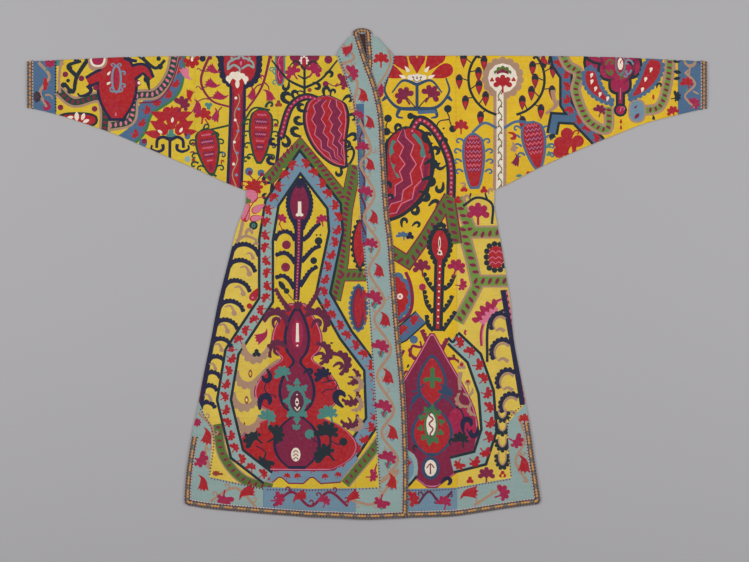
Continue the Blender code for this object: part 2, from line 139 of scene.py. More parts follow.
def spaced(line, spacing):
    """Places evenly spaced along a line, with the line's direction at each, in degrees."""
    run = run_along(line)
    count = max(1, int(run[-1] / spacing))
    at = (np.arange(count) + 0.5) * run[-1] / count
    places = np.column_stack([np.interp(at, run, line[:, 0]), np.interp(at, run, line[:, 1])])
    ahead = np.column_stack([np.interp(at + 0.5, run, line[:, 0]), np.interp(at + 0.5, run, line[:, 1])])
    behind = np.column_stack([np.interp(at - 0.5, run, line[:, 0]), np.interp(at - 0.5, run, line[:, 1])])
    turn = np.degrees(np.arctan2(ahead[:, 1] - behind[:, 1], ahead[:, 0] - behind[:, 0]))
    return [(x, y, t) for (x, y), t in zip(places, turn)]


def stem(side, silk, points, width=2.0, tip=None):
    """A line of stitching along a smooth path, tapering to its tip."""
    line = flowing(points)
    half = np.linspace(width, width if tip is None else tip, len(line))[:, None] / 2
    across = sideways(line)
    sew(side, silk, np.concatenate([line + across * half, (line - across * half)[::-1]]))


def spine_of(rows, step):
    """A form's middle line and half widths, and unit vectors along the line and square to it."""
    spine = flowing(rows, step=step)
    line, half = spine[:, :2], spine[:, 2]
    across = sideways(line)
    return line, half, np.column_stack([across[:, 1], -across[:, 0]]), across


def swelling(rows, grow=0.0):
    """Outline of a form with a bent spine. Rows: x, y, half width."""
    line, half, way, across = spine_of(rows, 3.0)
    reach = np.maximum(half + grow, 0.02)[:, None]
    line = line.copy()
    line[0] -= way[0] * grow
    line[-1] += way[-1] * grow
    return np.concatenate([line + across * reach, (line - across * reach)[::-1]])


def form(side, silks, rows, step=1.6):
    """A form filled in rings, from its outer silk inwards, each step narrower than the last."""
    for ring, silk in enumerate(silks):
        sew(side, silk, swelling(rows, -ring * step))


def cushion(x, y, half, tall, grow=0.0):
    """Outline of a round with squared shoulders, as counted stitches give it."""
    turn = np.linspace(0, 2 * math.pi, 20, endpoint=False)
    across, down = np.cos(turn), np.sin(turn)
    return np.column_stack([
        x + (half + grow) * np.sign(across) * np.abs(across) ** 0.75,
        y + (tall + grow) * np.sign(down) * np.abs(down) ** 0.75,
    ])


def stacked(side, silks, rounds, step=1.6, grow=0.0):
    """A form of rounds set one over another, filled in rings from its outer silk inwards.
    Rounds: x, y, half width, half height."""
    for ring, silk in enumerate(silks):
        for row in rounds:
            sew(side, silk, cushion(*row, grow - ring * step))


def vase(x, top, foot, half, swells=1, head=1.0, waist=0.3):
    """Rows of a form with even swellings down an upright line. Its top has a share of the full width."""
    share = np.linspace(0, 1, 6 * swells + 1)
    swell = (head + (1 - head) * share) * (
        waist + (1 - waist) * np.abs(np.sin(math.pi * swells * share)) ** 0.8
    )
    return [(x, y, row) for y, row in zip(top + (foot - top) * share, half * swell / swell.max())]


def paisley(x, y, length, half, lean=0.0, hook=0.0, tail=0.0):
    """Rows of a paisley hanging from a place: full near its head, drawn out to a bent tip."""
    share = np.linspace(0, 1, 12)
    swell = np.abs(np.sin(math.pi * share**0.62)) ** 0.7
    return np.column_stack([
        x + lean * share + hook * share**3, y + length * share, half * swell + tail * share,
    ])


def belt(side, silks, points, width, step=1.6):
    """A band in straight runs with mitred corners, filled in rings from its edges inwards."""
    points = np.asarray(points, float)
    way = np.diff(points, axis=0)
    way = way / np.hypot(*way.T)[:, None]
    square = np.column_stack([-way[:, 1], way[:, 0]])
    mitre = np.concatenate([square[:1], square[:-1] + square[1:], square[-1:]])
    facing = np.concatenate([square[:1], square])
    reach = mitre / np.maximum(np.sum(mitre * facing, axis=1), 0.35)[:, None]
    for ring, silk in enumerate(silks):
        half = width / 2 - ring * step
        sew(side, silk, np.concatenate([points + reach * half, (points - reach * half)[::-1]]))


def spray(side, silk, x, y, arms, width, tip=None):
    """Arms that spring to both sides of an upright line alike. Arms: short paths of (across, down)."""
    for arm in arms:
        for hand in (-1, 1):
            stem(side, silk, [(x + hand * across, y + down) for across, down in arm], width, tip)


def winding(points, sway, pitch):
    """A vine's path, which winds from side to side of a line."""
    path = []
    for count, (x, y, way) in enumerate(spaced(flowing(points), pitch / 2)):
        step = sway * (-1) ** count
        path.append((x - step * math.sin(math.radians(way)), y + step * math.cos(math.radians(way))))
    return path


def bars(side, silk, rows, spacing, thick=0.4, zigzag=1.6, inset=1.5, points=4):
    """Zigzag bars across a form, from edge to edge."""
    line, half, way, across = spine_of(rows, 1.0)
    run = run_along(line)
    for at in np.arange(spacing, run[-1] - spacing / 2, spacing):
        i = int(np.searchsorted(run, at))
        reach = half[i] - inset
        if reach < 1.5:
            continue
        shares = np.linspace(-1, 1, 2 * points + 1)
        waves = np.where(np.arange(len(shares)) % 2, zigzag, -zigzag) / 2
        middle = line[i] + shares[:, None] * across[i] * reach + waves[:, None] * way[i]
        rise = way[i] * thick * spacing / 2
        sew(side, silk, np.concatenate([middle + rise, (middle - rise)[::-1]]))


def placed(outline, x, y, size, turn=0.0, stretch=1.0):
    """A motif's own outline, drawn a unit across, set on the chart. Turn is in degrees, clockwise."""
    turn = math.radians(turn)
    across, down = np.asarray(outline, float).T
    across, down = across * size, down * size * stretch
    return np.column_stack([
        x + across * math.cos(turn) - down * math.sin(turn),
        y + across * math.sin(turn) + down * math.cos(turn),
    ])


def round_outline(lobes=0, depth=0.0, count=None):
    """A disc, or a flower of several lobes."""
    count = count or (12 if lobes == 0 else 6 * lobes)
    turn = np.linspace(0, 2 * math.pi, count, endpoint=False)
    reach = 1 - depth * (1 - np.abs(np.cos(lobes * turn / 2)))
    return np.column_stack([np.sin(turn) * reach, -np.cos(turn) * reach])


def drop_outline(bend=0.0, plump=0.62):
    """A drop with its point at the top, which leans to one side by bend."""
    turn = np.linspace(0, 2 * math.pi, 18, endpoint=False)
    down = -np.cos(turn)
    across = plump * np.sin(turn) * np.abs(np.sin(turn / 2)) ** 1.2
    return np.column_stack([across + bend * (1 - down) ** 2 / 4, down])


DISC = round_outline()
SMALL_DISC = round_outline(count=9)
DROP = drop_outline()
DAISY = round_outline(8, 0.34)
CLOVER = round_outline(3, 0.5)
ALMOND = [
    (0.5 * math.sin(t) * abs(math.sin(t)) ** 0.5, -math.cos(t))
    for t in np.linspace(0, 2 * math.pi, 18)[:-1]
]


def fan_outline(lobes=5, spread=240.0, lean=0.0):
    """A carnation seen from the side: rounded petals in a fan, the outer ones curling down, and a stalk.
    With some lean the fan grows larger to one side and hooks over."""
    share = np.linspace(0, 1, 6 * lobes + 1)
    turn = np.radians((share - 0.5) * spread) + lean * (share - 0.2)
    reach = (0.7 + 0.3 * np.abs(np.sin(share * lobes * math.pi)) ** 0.6) * (1 + lean * (0.6 - share))
    fan = np.column_stack([np.sin(turn) * reach, -np.cos(turn) * reach])
    stalk = np.array([(0.3, 0.12), (0.1, 0.3), (0.1, 0.95), (-0.1, 0.95), (-0.1, 0.3), (-0.3, 0.12)])
    return np.concatenate([fan, stalk + (lean * 0.5, 0)])


CARNATION = fan_outline()
CREST = fan_outline(6, 205.0, 0.4)
POSY = fan_outline(5, 215.0, 0.3)
# A tulip in profile with a curled tip at the top and three tongues:   across, down
TULIP = (
    (-0.55, -1.0), (-0.1, -0.82), (0.3, -0.52), (0.52, -0.1), (0.6, 0.4), (0.72, 0.95), (0.34, 0.74),
    (0.2, 1.02), (-0.04, 0.74), (-0.26, 0.9), (-0.3, 0.62), (-0.62, 0.78), (-0.42, 0.3), (-0.3, -0.1),
    (-0.22, -0.55),
)
# A hooked frond, thick in its bend:   across, down
FROND = (
    (-0.14, 1.0), (-0.44, 0.5), (-0.6, 0.0), (-0.5, -0.5), (-0.16, -0.86), (0.3, -0.96), (0.72, -0.74),
    (0.94, -0.3), (0.86, 0.1), (0.62, 0.2), (0.5, -0.12), (0.24, -0.3), (0.02, -0.14), (0.0, 0.3),
    (0.12, 1.0),
)


def bloom(side, silk, outline, x, y, size, turn=0.0, stretch=1.0):
    """One small motif of the given outline."""
    sew(side, silk, placed(outline, x, y, size, turn, stretch))


def blooms(side, rows):
    """A table of small motifs. Rows: silk, outline, x, y, size, then turn and stretch if need be."""
    for row in rows:
        bloom(side, *row)


def run_of(side, silk, outline, points, spacing, size, turn=0.0, stretch=1.0):
    """One motif repeated along a path and turned with it."""
    for x, y, way in spaced(flowing(points), spacing):
        bloom(side, silk, outline, x, y, size, way + turn, stretch)


def comb(side, silk, x, y, reach, turn, spread=150.0, thick=0.34, lobes=4):
    """A cockscomb: a crescent whose outer edge is scalloped. Turn points the middle of its back."""
    angles = np.radians(turn + np.linspace(-spread / 2, spread / 2, 5 * lobes + 1))
    share = np.linspace(0, 1, 5 * lobes + 1)
    outer = reach * (0.84 + 0.16 * np.abs(np.sin(share * lobes * math.pi)))
    inner = reach * (1 - thick * np.sin(share * math.pi) ** 0.5 - 0.1)
    ring = [
        np.column_stack([x + r * np.cos(angles), y + r * np.sin(angles)])
        for r in (outer, np.minimum(inner, outer - 0.2))
    ]
    sew(side, silk, np.concatenate([ring[0], ring[1][::-1]]))


def band(side, points, width, ground, edge, edge_width=1.6, dash=None, spacing=6.0, dash_size=(1.0, 3.4)):
    """A band along a path: a dark edge on both sides, the ground, then bars across it."""
    stem(side, edge, points, width)
    stem(side, ground, points, width - 2 * edge_width)
    if dash:
        for x, y, way in spaced(flowing(points), spacing):
            bloom(side, dash, ALMOND, x, y, dash_size[1], way + 12, 1.0)


def flowered(side, points, spacing, silk="crimson", size=3.4, outline=CARNATION):
    """Flowers in a row inside a band, tipped to one side and the other by turns."""
    for count, (x, y, way) in enumerate(spaced(flowing(points), spacing)):
        lean = 28 * (-1) ** count
        bloom(side, silk, outline, x, y, size, way + lean)


CURL = ((0.0, 0.1), (0.04, -0.45), (0.4, -0.9), (0.9, -0.8), (0.95, -0.4), (0.66, -0.3))


def curls(side, silk, rows):
    """Small tendrils that curl over. Rows: x, y, size, turn, hand (1 curls to the right), width."""
    for x, y, size, turn, hand, width in rows:
        stem(side, silk, placed([(hand * a, d) for a, d in CURL], x, y, size, turn), width, width * 0.7)


def furrows(side, silk, rows, shares, width, zigzag=1.4, pitch=5.0, ends=(0.06, 0.94)):
    """Zigzag strips along a form, each at one share of its half width."""
    line, half, _, across = spine_of(rows, 1.0)
    run = run_along(line)
    knots = np.arange(run[-1] * ends[0], run[-1] * ends[1], pitch / 2)
    wave = np.where(np.arange(len(knots)) % 2, zigzag, -zigzag) / 2

    def at(values):
        return np.column_stack([np.interp(knots, run, column) for column in values.T])

    for share in shares:
        reach = np.interp(knots, run, half)
        squeeze = np.minimum(1, reach / half.max() * 1.6)
        middle = at(line) + at(across) * (share * reach + wave * squeeze)[:, None]
        side_step = at(across) * (width / 2 * squeeze)[:, None]
        sew(side, silk, np.concatenate([middle + side_step, (middle - side_step)[::-1]]))


def ringed(side, silks, x, y, size, step, stretch=1.0):
    """A disc worked in rings of several silks, from the outside in."""
    for ring, silk in enumerate(silks):
        bloom(side, silk, DISC, x, y, size - ring * step, 0, stretch)


def scalloped(side, silk, line, size, spacing=3.6):
    """Round teeth all round an outline."""
    for x, y, _ in spaced(np.concatenate([line, line[:1]]), spacing):
        bloom(side, silk, SMALL_DISC, x, y, size)


def leafy(side, silk, points, width, tip, size=2.6, spacing=3.6, out=1.0):
    """A branch with a row of round leaves along its outer side."""
    stem(side, silk, points, width, tip)
    line = flowing(points)
    across = sideways(line) * out * width * 0.55
    for x, y, _ in spaced(line + across, spacing):
        bloom(side, silk, SMALL_DISC, x, y, size * 0.8)


def hatched(side, x, y, size, stretch):
    """A cream lozenge with a stitched figure in it."""
    bloom(side, "cream", DISC, x, y, size, 0, stretch)
    for step in (-0.5, 0.0, 0.5):
        top = y + size * stretch * step
        chevron = [
            (x - size * 0.5, top + size * 0.3), (x, top - size * 0.15), (x + size * 0.5, top + size * 0.3),
        ]
        stem(side, "maroon", chevron, size * 0.2)


def stitch_group():
    """Counted cross-stitch: a thread's colour, varied stitch by stitch, with painted sheen along the rows and
    painted shade between the stitches, and the stitches' height.
    """
    group = bpy.data.node_groups.new("counted_cross_stitch", "ShaderNodeTree")
    for name, kind in (
        ("Thread", "NodeSocketColor"), ("Stitch Size", "NodeSocketFloat"), ("Wear", "NodeSocketFloat"),
    ):
        group.interface.new_socket(name=name, in_out="INPUT", socket_type=kind)
    for name, kind in (
        ("Color", "NodeSocketColor"), ("Height", "NodeSocketFloat"), ("Roughness", "NodeSocketFloat"),
    ):
        group.interface.new_socket(name=name, in_out="OUTPUT", socket_type=kind)
    nodes, links = group.nodes, group.links
    given = nodes.new("NodeGroupInput")
    made = nodes.new("NodeGroupOutput")

    def math_node(operation, *values):
        node = nodes.new("ShaderNodeMath")
        node.operation = operation
        for socket, value in zip(node.inputs, values):
            if isinstance(value, (int, float)):
                socket.default_value = value
            else:
                links.new(value, socket)
        return node.outputs[0]

    place = nodes.new("ShaderNodeTexCoord").outputs["Object"]
    counted = nodes.new("ShaderNodeVectorMath")
    counted.operation = "DIVIDE"
    links.new(place, counted.inputs[0])
    links.new(given.outputs["Stitch Size"], counted.inputs[1])
    cell = nodes.new("ShaderNodeVectorMath")
    cell.operation = "FLOOR"
    links.new(counted.outputs[0], cell.inputs[0])
    within = nodes.new("ShaderNodeVectorMath")
    within.operation = "FRACTION"
    links.new(counted.outputs[0], within.inputs[0])
    split = nodes.new("ShaderNodeSeparateXYZ")
    links.new(within.outputs[0], split.inputs[0])
    one_way = math_node("ABSOLUTE", math_node("SUBTRACT", split.outputs[0], split.outputs[1]))
    added = math_node("SUBTRACT", math_node("ADD", split.outputs[0], split.outputs[1]), 1.0)
    other_way = math_node("ABSOLUTE", added)
    legs = math_node("MINIMUM", one_way, other_way)
    height = math_node("SUBTRACT", 1.0, math_node("MULTIPLY", legs, 2.2))
    height = math_node("MAXIMUM", height, 0.0)
    flat_cell = nodes.new("ShaderNodeVectorMath")
    flat_cell.operation = "MULTIPLY"
    flat_cell.inputs[1].default_value = (1, 1, 0)
    links.new(cell.outputs[0], flat_cell.inputs[0])
    chance = nodes.new("ShaderNodeTexWhiteNoise")
    chance.noise_dimensions = "3D"
    links.new(flat_cell.outputs[0], chance.inputs["Vector"])

    def noise(scale, detail, stretch=(1, 1, 1)):
        stretched = nodes.new("ShaderNodeMapping")
        stretched.inputs["Scale"].default_value = stretch
        links.new(place, stretched.inputs["Vector"])
        node = nodes.new("ShaderNodeTexNoise")
        node.inputs["Scale"].default_value = scale
        node.inputs["Detail"].default_value = detail
        links.new(stretched.outputs[0], node.inputs["Vector"])
        return node.outputs["Fac"]

    lots = noise(14.0, 3.0)
    rows = noise(60.0, 2.0, (0.35, 4.0, 1.0))
    patches = noise(130.0, 3.0)
    value = math_node("MULTIPLY_ADD", chance.outputs["Value"], 0.16, 0.68)
    value = math_node("ADD", value, math_node("MULTIPLY", lots, 0.22))
    # The streaks along the rows brighten the silk: painted sheen where the thread lies one way
    value = math_node("ADD", value, math_node("MULTIPLY", rows, 0.18))
    # Brighter on the raised legs of each cross and darker between them: painted shade in the gaps between
    # stitches
    value = math_node("ADD", value, math_node("MULTIPLY", height, 0.06))
    hue = math_node("MULTIPLY_ADD", lots, 0.016, 0.492)
    saturation = math_node("MULTIPLY_ADD", patches, -0.16, 1.07)
    tint = nodes.new("ShaderNodeHueSaturation")
    links.new(hue, tint.inputs["Hue"])
    links.new(saturation, tint.inputs["Saturation"])
    links.new(value, tint.inputs["Value"])
    links.new(given.outputs["Thread"], tint.inputs["Color"])
    worn = nodes.new("ShaderNodeMix")
    worn.data_type = "RGBA"
    worn.inputs["B"].default_value = dyed("cream")
    links.new(tint.outputs["Color"], worn.inputs["A"])
    bare = math_node("ADD", chance.outputs["Value"], math_node("MULTIPLY", patches, 0.6))
    bare = math_node("GREATER_THAN", bare, 1.36)
    links.new(math_node("MULTIPLY", bare, given.outputs["Wear"]), worn.inputs["Factor"])
    links.new(worn.outputs["Result"], made.inputs["Color"])
    links.new(math_node("ADD", height, math_node("MULTIPLY", patches, 0.5)), made.inputs["Height"])
    links.new(math_node("MULTIPLY_ADD", chance.outputs["Value"], 0.12, 0.56), made.inputs["Roughness"])
    return group


counted_stitch = stitch_group()


def silk_stitch(name, wear=0.12, stitch=0.5 * SQUARE * MM, depth=0.0005):
    """Material of a stitched panel. Each face's thread colour comes from its own attribute."""
    material = bpy.data.materials.new(name)
    material.use_nodes = True
    nodes, links = material.node_tree.nodes, material.node_tree.links
    shader = nodes["Principled BSDF"]
    shader.inputs["Sheen Weight"].default_value = 0.06
    shader.inputs["Sheen Roughness"].default_value = 0.4
    shader.inputs["Specular IOR Level"].default_value = 0.35
    thread = nodes.new("ShaderNodeAttribute")
    thread.attribute_name = "thread"
    group = nodes.new("ShaderNodeGroup")
    group.node_tree = counted_stitch
    group.inputs["Stitch Size"].default_value = stitch
    group.inputs["Wear"].default_value = wear
    links.new(thread.outputs["Color"], group.inputs["Thread"])
    links.new(group.outputs["Color"], shader.inputs["Base Color"])
    links.new(group.outputs["Roughness"], shader.inputs["Roughness"])
    bump = nodes.new("ShaderNodeBump")
    bump.inputs["Strength"].default_value = 0.6
    bump.inputs["Distance"].default_value = depth
    links.new(group.outputs["Height"], bump.inputs["Height"])
    links.new(bump.outputs["Normal"], shader.inputs["Normal"])
    return material


silk_panels = silk_stitch("silk_cross_stitch")

# ---- Embroidery: left sleeve ----
# From the cuff inwards: a many-armed medallion framed by a tan-edged green band and a blue
# flower band, a red fan flower, then a tall column between two vines and two ripe almonds.
LEFT = -1
# Cuff band: its vine and flowers
stem(LEFT, "tan", winding([(42, 54), (45, 84), (42, 115)], 4.6, 28), 2.8)
stem(LEFT, "tan", [(45, 95), (50, 95), (53, 99)], 2.2, 1.2)
blooms(LEFT, [
    ("rose", POSY, 49.4, 62, 5.6, 170), ("teal", SMALL_DISC, 58, 62.6, 3.4),
    ("rose", FROND, 47, 105, 5.6, 150), ("teal", SMALL_DISC, 46.6, 69.6, 1.6),
])
comb(LEFT, "crimson", 40, 84, 8.6, 0, 120, 0.55, 3)
run_of(LEFT, "navy", SMALL_DISC, [(55.6, 55), (55.6, 112)], 3, 1.0)
# Blue flower band and its dark edge, from the shoulder down to the seam
BLUE_PATH = [(178, 50), (173, 88), (147, 109), (137, 131), (118, 146)]
stem(LEFT, "leaf", BLUE_PATH, 17)
stem(LEFT, "steel", [(x - 0.9, y - 0.9) for x, y in BLUE_PATH], 14.0)
flowered(LEFT, BLUE_PATH, 12.5, "crimson", 4.6, POSY)
# Green band between tan edges, right of the medallion, then left of it
for path, dash in (
    ([(176, 48), (170, 75), (156, 93), (135, 97), (130, 120), (108, 126)], "pink"),
    ([(58, 90), (74, 102), (98, 97), (105, 110), (104, 136)], "maroon"),
):
    band(LEFT, path, 11.4, "fern", "tan", 2.5, dash, 5.2, (1.0, 2.6))
stem(LEFT, "maroon", [(181.4, 50), (172, 82), (158, 100), (139, 103)], 1.6)
stem(LEFT, "tan", [(62.6, 54), (59.8, 70), (59, 84), (60, 93)], 2.8)
# Medallion: dark outline, then red, and the knotted ring in its middle
MEDALLION = vase(117, 52, 118, 18)
ARMS = ([(108, 74), (98, 77), (87.6, 82)], [(126, 76), (143, 69), (151.6, 79)])
for silk, grow in (("navy", 3.0), ("crimson", 0.0)):
    sew(LEFT, silk, swelling(MEDALLION, grow))
    stem(LEFT, silk, ARMS[0], 10.4 + 2 * grow, 6.4 + 2 * grow)
    stem(LEFT, silk, ARMS[1], 13 + 2 * grow, 2 + 2 * grow)
stem(LEFT, "navy", [(87.6, 85), (91, 90), (88, 94), (80.4, 96), (77.4, 93)], 5, 1.6)
stem(LEFT, "navy", [(124, 57), (130, 60), (137, 61)], 5, 3)
blooms(LEFT, [("sky", DISC, 116.4, 79, 5.6, 0, 2.6), ("crimson", DISC, 116.4, 79, 3.4, 0, 3.6)])
stem(LEFT, "rose", [(116.2, 72), (116.2, 84)], 2.4)
stem(LEFT, "crimson", [(116, 95), (116, 100)], 5)
curls(LEFT, "sky", [
    (120.4, 73, 4, 40, 1, 1.8), (120.4, 85, 4, 50, 1, 1.8), (117, 66, 3.6, 20, 1, 1.4),
    (115.4, 66, 3.6, -20, -1, 1.4), (117.4, 91, 4.6, 110, -1, 1.8), (115, 91, 4.6, 250, 1, 1.8),
])
blooms(LEFT, [
    ("cream", DROP, 109, 73, 2.6, 40), ("cream", DROP, 109, 83, 2.6, 60), ("pink", DROP, 115.8, 114, 1.9, 0),
])
stem(LEFT, "rose", [(116, 99), (116, 110)], 1.1)
# Around the medallion
for path, width, tip in (
    ([(90, 56), (77, 76), (73, 92), (64, 83)], 4.4, 3.4), ([(76.4, 76), (68, 66), (81, 61)], 4.4, 3.0),
    ([(139, 55), (155, 68), (165, 60)], 3.8, 3.0), ([(147, 78), (149.4, 90)], 5.4, 1.6),
):
    stem(LEFT, "ink", path, width, tip)
blooms(LEFT, [("ink", SMALL_DISC, x, y, r) for x, y, r in (
    (63.4, 85, 2.9), (69.4, 68, 3.0), (70, 91, 3), (76.4, 60.4, 2.8), (68, 80.6, 2), (160, 66.6, 3),
    (146.6, 79.4, 3.4), (158.6, 58.6, 2.4),
)])
stacked(LEFT, ("tan", "cream", "rose"), ((97.6, 57, 10, 12),), 2.0)
blooms(LEFT, [("maroon", SMALL_DISC, x, y, 3.0) for x, y in (
    (65.3, 74.3), (81.4, 78.3), (95.8, 87.5), (60.4, 107.4), (94.5, 108.8),
)] + [("maroon", DISC, 137.6, 83.2, 3.4), ("cream", SMALL_DISC, 139, 82.8, 1.6)])
# Half rosette on the underarm seam
stacked(LEFT, ("ink", "crimson"), ((77, 120, 21, 8),), 2.4)
blooms(LEFT, [
    ("cream", ALMOND, 70, 117.4, 3.4, 80), ("cream", ALMOND, 76.6, 116.4, 4.6, 0),
    ("cream", ALMOND, 83, 116.6, 3.8, 20), ("cream", ALMOND, 86, 121, 3.4, 66),
])
# Fan flower with its scrolled foot
for x, y, size, turn, bend in (
    (172, 116, 11, 0, 0), (160, 114, 9, -52, -0.5), (183, 114, 9, 52, 0.5), (159.4, 125.4, 10.6, -50, -0.25),
    (184, 125.4, 10.6, 50, 0.25), (152.6, 132.6, 8, -62, -0.5), (190, 131, 7, 64, 0.5),
):
    bloom(LEFT, "crimson", drop_outline(bend, 0.72), x, y, size, turn)
blooms(LEFT, [("crimson", SMALL_DISC, x, y, 4.4) for x, y in (
    (167, 111), (177, 111), (160, 123), (183.4, 122.6), (171, 126), (164, 131), (179, 131),
)])
for x, y, size, turn in ((172.4, 120, 2.8, 10), (160, 131.6, 2.8, -56), (181, 130, 2.8, 30)):
    bloom(LEFT, "cream", ALMOND, x, y, size, turn)
bloom(LEFT, "teal", CLOVER, 171, 134.6, 5.4)
for hand in (-1, 1):
    stem(LEFT, "navy", [
        (170.4, 140), (170 + 7 * hand, 137), (170 + 12.6 * hand, 140), (170 + 13.4 * hand, 148),
    ], 3.4, 3)
    stem(LEFT, "navy", [
        (170 + 7.4 * hand, 144), (170 + 7 * hand, 149), (170 + 12 * hand, 151.6), (170 + 18.6 * hand, 149),
        (170 + 18 * hand, 145),
    ], 3.6, 2)
stem(LEFT, "navy", [(170, 137), (169.6, 160)], 3)
blooms(LEFT, [
    ("steel", DISC, 143, 143, 4.2), ("maroon", SMALL_DISC, 144.4, 141, 2.8),
    ("steel", DISC, 187.5, 136.4, 3.0), ("maroon", SMALL_DISC, 186, 134.6, 1.8),
    ("aqua", DISC, 187.5, 159, 3.2), ("maroon", FROND, 192.6, 143.6, 2.8, 90),
    ("maroon", FROND, 192.4, 152.6, 2.8, 90),
])
# Flowers by the sleeve seam
blooms(LEFT, [
    ("crimson", CARNATION, 191.4, 60, 8.6, 170), ("cream", DROP, 192, 58.6, 2.8),
    ("pink", TULIP, 186.6, 74, 7.6, 160), ("crimson", TULIP, 190, 95.6, 6.4, 190),
    ("maroon", POSY, 182, 105, 8.4, 40), ("crimson", CARNATION, 203, 116, 8.6, 10),
    ("rose", TULIP, 197, 107, 8, 10), ("teal", CLOVER, 208.6, 105.6, 4.2, 180),
    ("rust", SMALL_DISC, 193.4, 160, 2),
])
stem(LEFT, "crimson", [(205, 119), (208.6, 124.6)], 1.4)
# Column with its domed head
HEAD = (240, 62, 18, 23)
scalloped(LEFT, "navy", cushion(*HEAD, 1), 3.8, 5.4)
stacked(LEFT, ("navy", "crimson"), (HEAD,), 1.8)
COLUMN = [(237.8, 82), (237.4, 110), (236, 150), (234.2, 192)]
stem(LEFT, "navy", COLUMN, 16.8)
stem(LEFT, "maroon", COLUMN, 11)
stem(LEFT, "crimson", COLUMN, 7)
stem(LEFT, "crimson", [(239, 70), (237.6, 92)], 10)
for path, width in (
    ([(228, 70), (228.6, 63), (234, 59), (241, 58), (248, 59), (253, 63), (253.6, 68)], 2.4),
    ([(228, 69), (234, 65), (241, 68.6), (248, 65), (253.6, 68)], 2.4), ([(231, 57), (233.6, 61)], 2.4),
    ([(250, 57), (248, 61)], 2.4), ([(239.6, 69), (239.6, 72)], 2.0),
    ([(236, 53), (241, 57), (246, 53)], 3.0),
):
    stem(LEFT, "aqua", path, width, 1.8)
bloom(LEFT, "rose", DROP, 241, 63.6, 3.6, 180, 2.0)
bloom(LEFT, "pink", DROP, 241, 63.6, 2.2, 180, 1.2)
blooms(LEFT, [("cream", SMALL_DISC, 236.6 + dx, 77 + dy, r) for dx, dy, r in (
    (-7.8, 1.6, 3.2), (-3.5, -1.4, 4.0), (1, -2.0, 3.8), (5.4, -0.4, 3.6), (9, 2, 3.0), (1, 1.4, 3))])
blooms(LEFT, [
    ("cream", ALMOND, 229.4, 81, 2.6), ("cream", ALMOND, 245.4, 82, 2.6), ("crimson", ALMOND, 233, 83, 4.6),
    ("crimson", ALMOND, 241.6, 83, 4.6), ("cream", ALMOND, 237.4, 84, 4.4),
])
wave = [(237.5 + 2.3 * math.sin(0.21 * (y - 92)) - 0.035 * (y - 92), y) for y in range(94, 190, 5)]
stem(LEFT, "tan", wave, 1.1)
blooms(LEFT, [(
    "sky" if k % 2 else "cream", SMALL_DISC, 237.5 - 1.6 * (-1) ** k - 0.035 * 11 * k, 98 + 11 * k, 1.5,
) for k in range(8)])
# Vines either side of the head
VINES = (
    ("maroon", [(211, 52), (201, 80), (211, 100), (230, 107)], 2.8),
    ("maroon", [(271, 52), (262, 86), (246, 111)], 2.8),
    ("maroon", [(262, 84), (257, 86), (254, 90)], 1.6), ("maroon", [(264, 82), (268, 86), (269, 90)], 1.6),
    ("maroon", [(203, 71), (209, 71), (213, 70)], 1.4), ("maroon", [(201, 87), (206, 87), (210, 84)], 1.4),
    ("maroon", [(208, 98), (213, 97), (218, 96)], 1.4), ("maroon", [(222, 107), (219, 110), (218, 114)], 1.4),
    ("maroon", [(209, 99), (203, 99), (197, 102)], 1.4), ("maroon", [(203, 72), (198, 68), (197, 70)], 1.2),
    ("maroon", [(202, 90), (198, 86), (196, 88)], 1.2),
)
for silk, path, width in VINES:
    stem(LEFT, silk, path, width, width * 0.7)
for x, y, size, turn in (
    (213.4, 69.5, 7.2, 130), (212.6, 84, 7.6, 120), (220.6, 96, 7.6, 110), (215.6, 115, 7, 20),
    (252, 93.5, 7, 20), (268.6, 95, 7.4, -20),
):
    bloom(LEFT, "rose", TULIP, x, y, size, turn)
blooms(LEFT, [
    ("rust", CLOVER, 278.6, 104, 4), ("navy", DISC, 202.6, 58.6, 3.2), ("navy", DISC, 218.5, 56, 2.8),
    ("rose", FROND, 261.6, 77, 2.6, 0),
])
# Two ripe almonds with tendrils
for rows, head, spill in (
    (paisley(205, 128, 47, 10, 7), [(197, 133), (213, 129), (230, 125)], ((198, 163), (216, 176))),
    (
        paisley(262, 108, 56, 10, -3), [(270, 110), (254, 108), (246, 118), (241, 126)],
        ((250, 158), (268, 156)),
    ),
):
    stem(LEFT, "fern", head, 2.0)
    form(LEFT, ("fern", "crimson"), [(x, y, h + 2.4) for x, y, h in rows], 2.4)
    bars(LEFT, "maroon", rows, 13.0, 0.5, 1.2, 3.0)
    bars(LEFT, "pink", rows, 6.5, 0.16, 1.4, 4.0, 5)
    for hand, line in (
        (-1, [(x - h - 1, y) for x, y, h in rows[1:-1]]), (1, [(x + h + 1, y) for x, y, h in rows[1:-1]]),
    ):
        for x, y, _ in spaced(flowing(line), 10.5):
            curls(LEFT, "fern", [(x, y + 2, 5.6, 62 * hand, hand, 2.0)])
    for x, y in spill:
        curls(LEFT, "fern", [(x, y, 5.6, -60 if x < 235 or x < 260 else 60, -1 if x < 260 else 1, 2.2)])
curls(LEFT, "fern", [(266, 107, 6, 10, 1, 3), (204, 130, 5.6, -10, 1, 2.0), (212, 135, 5.6, 40, 1, 2.0)])
blooms(LEFT, [("steel", FROND, 223, 154, 2.4), ("rust", FROND, 222, 162, 2.6)])

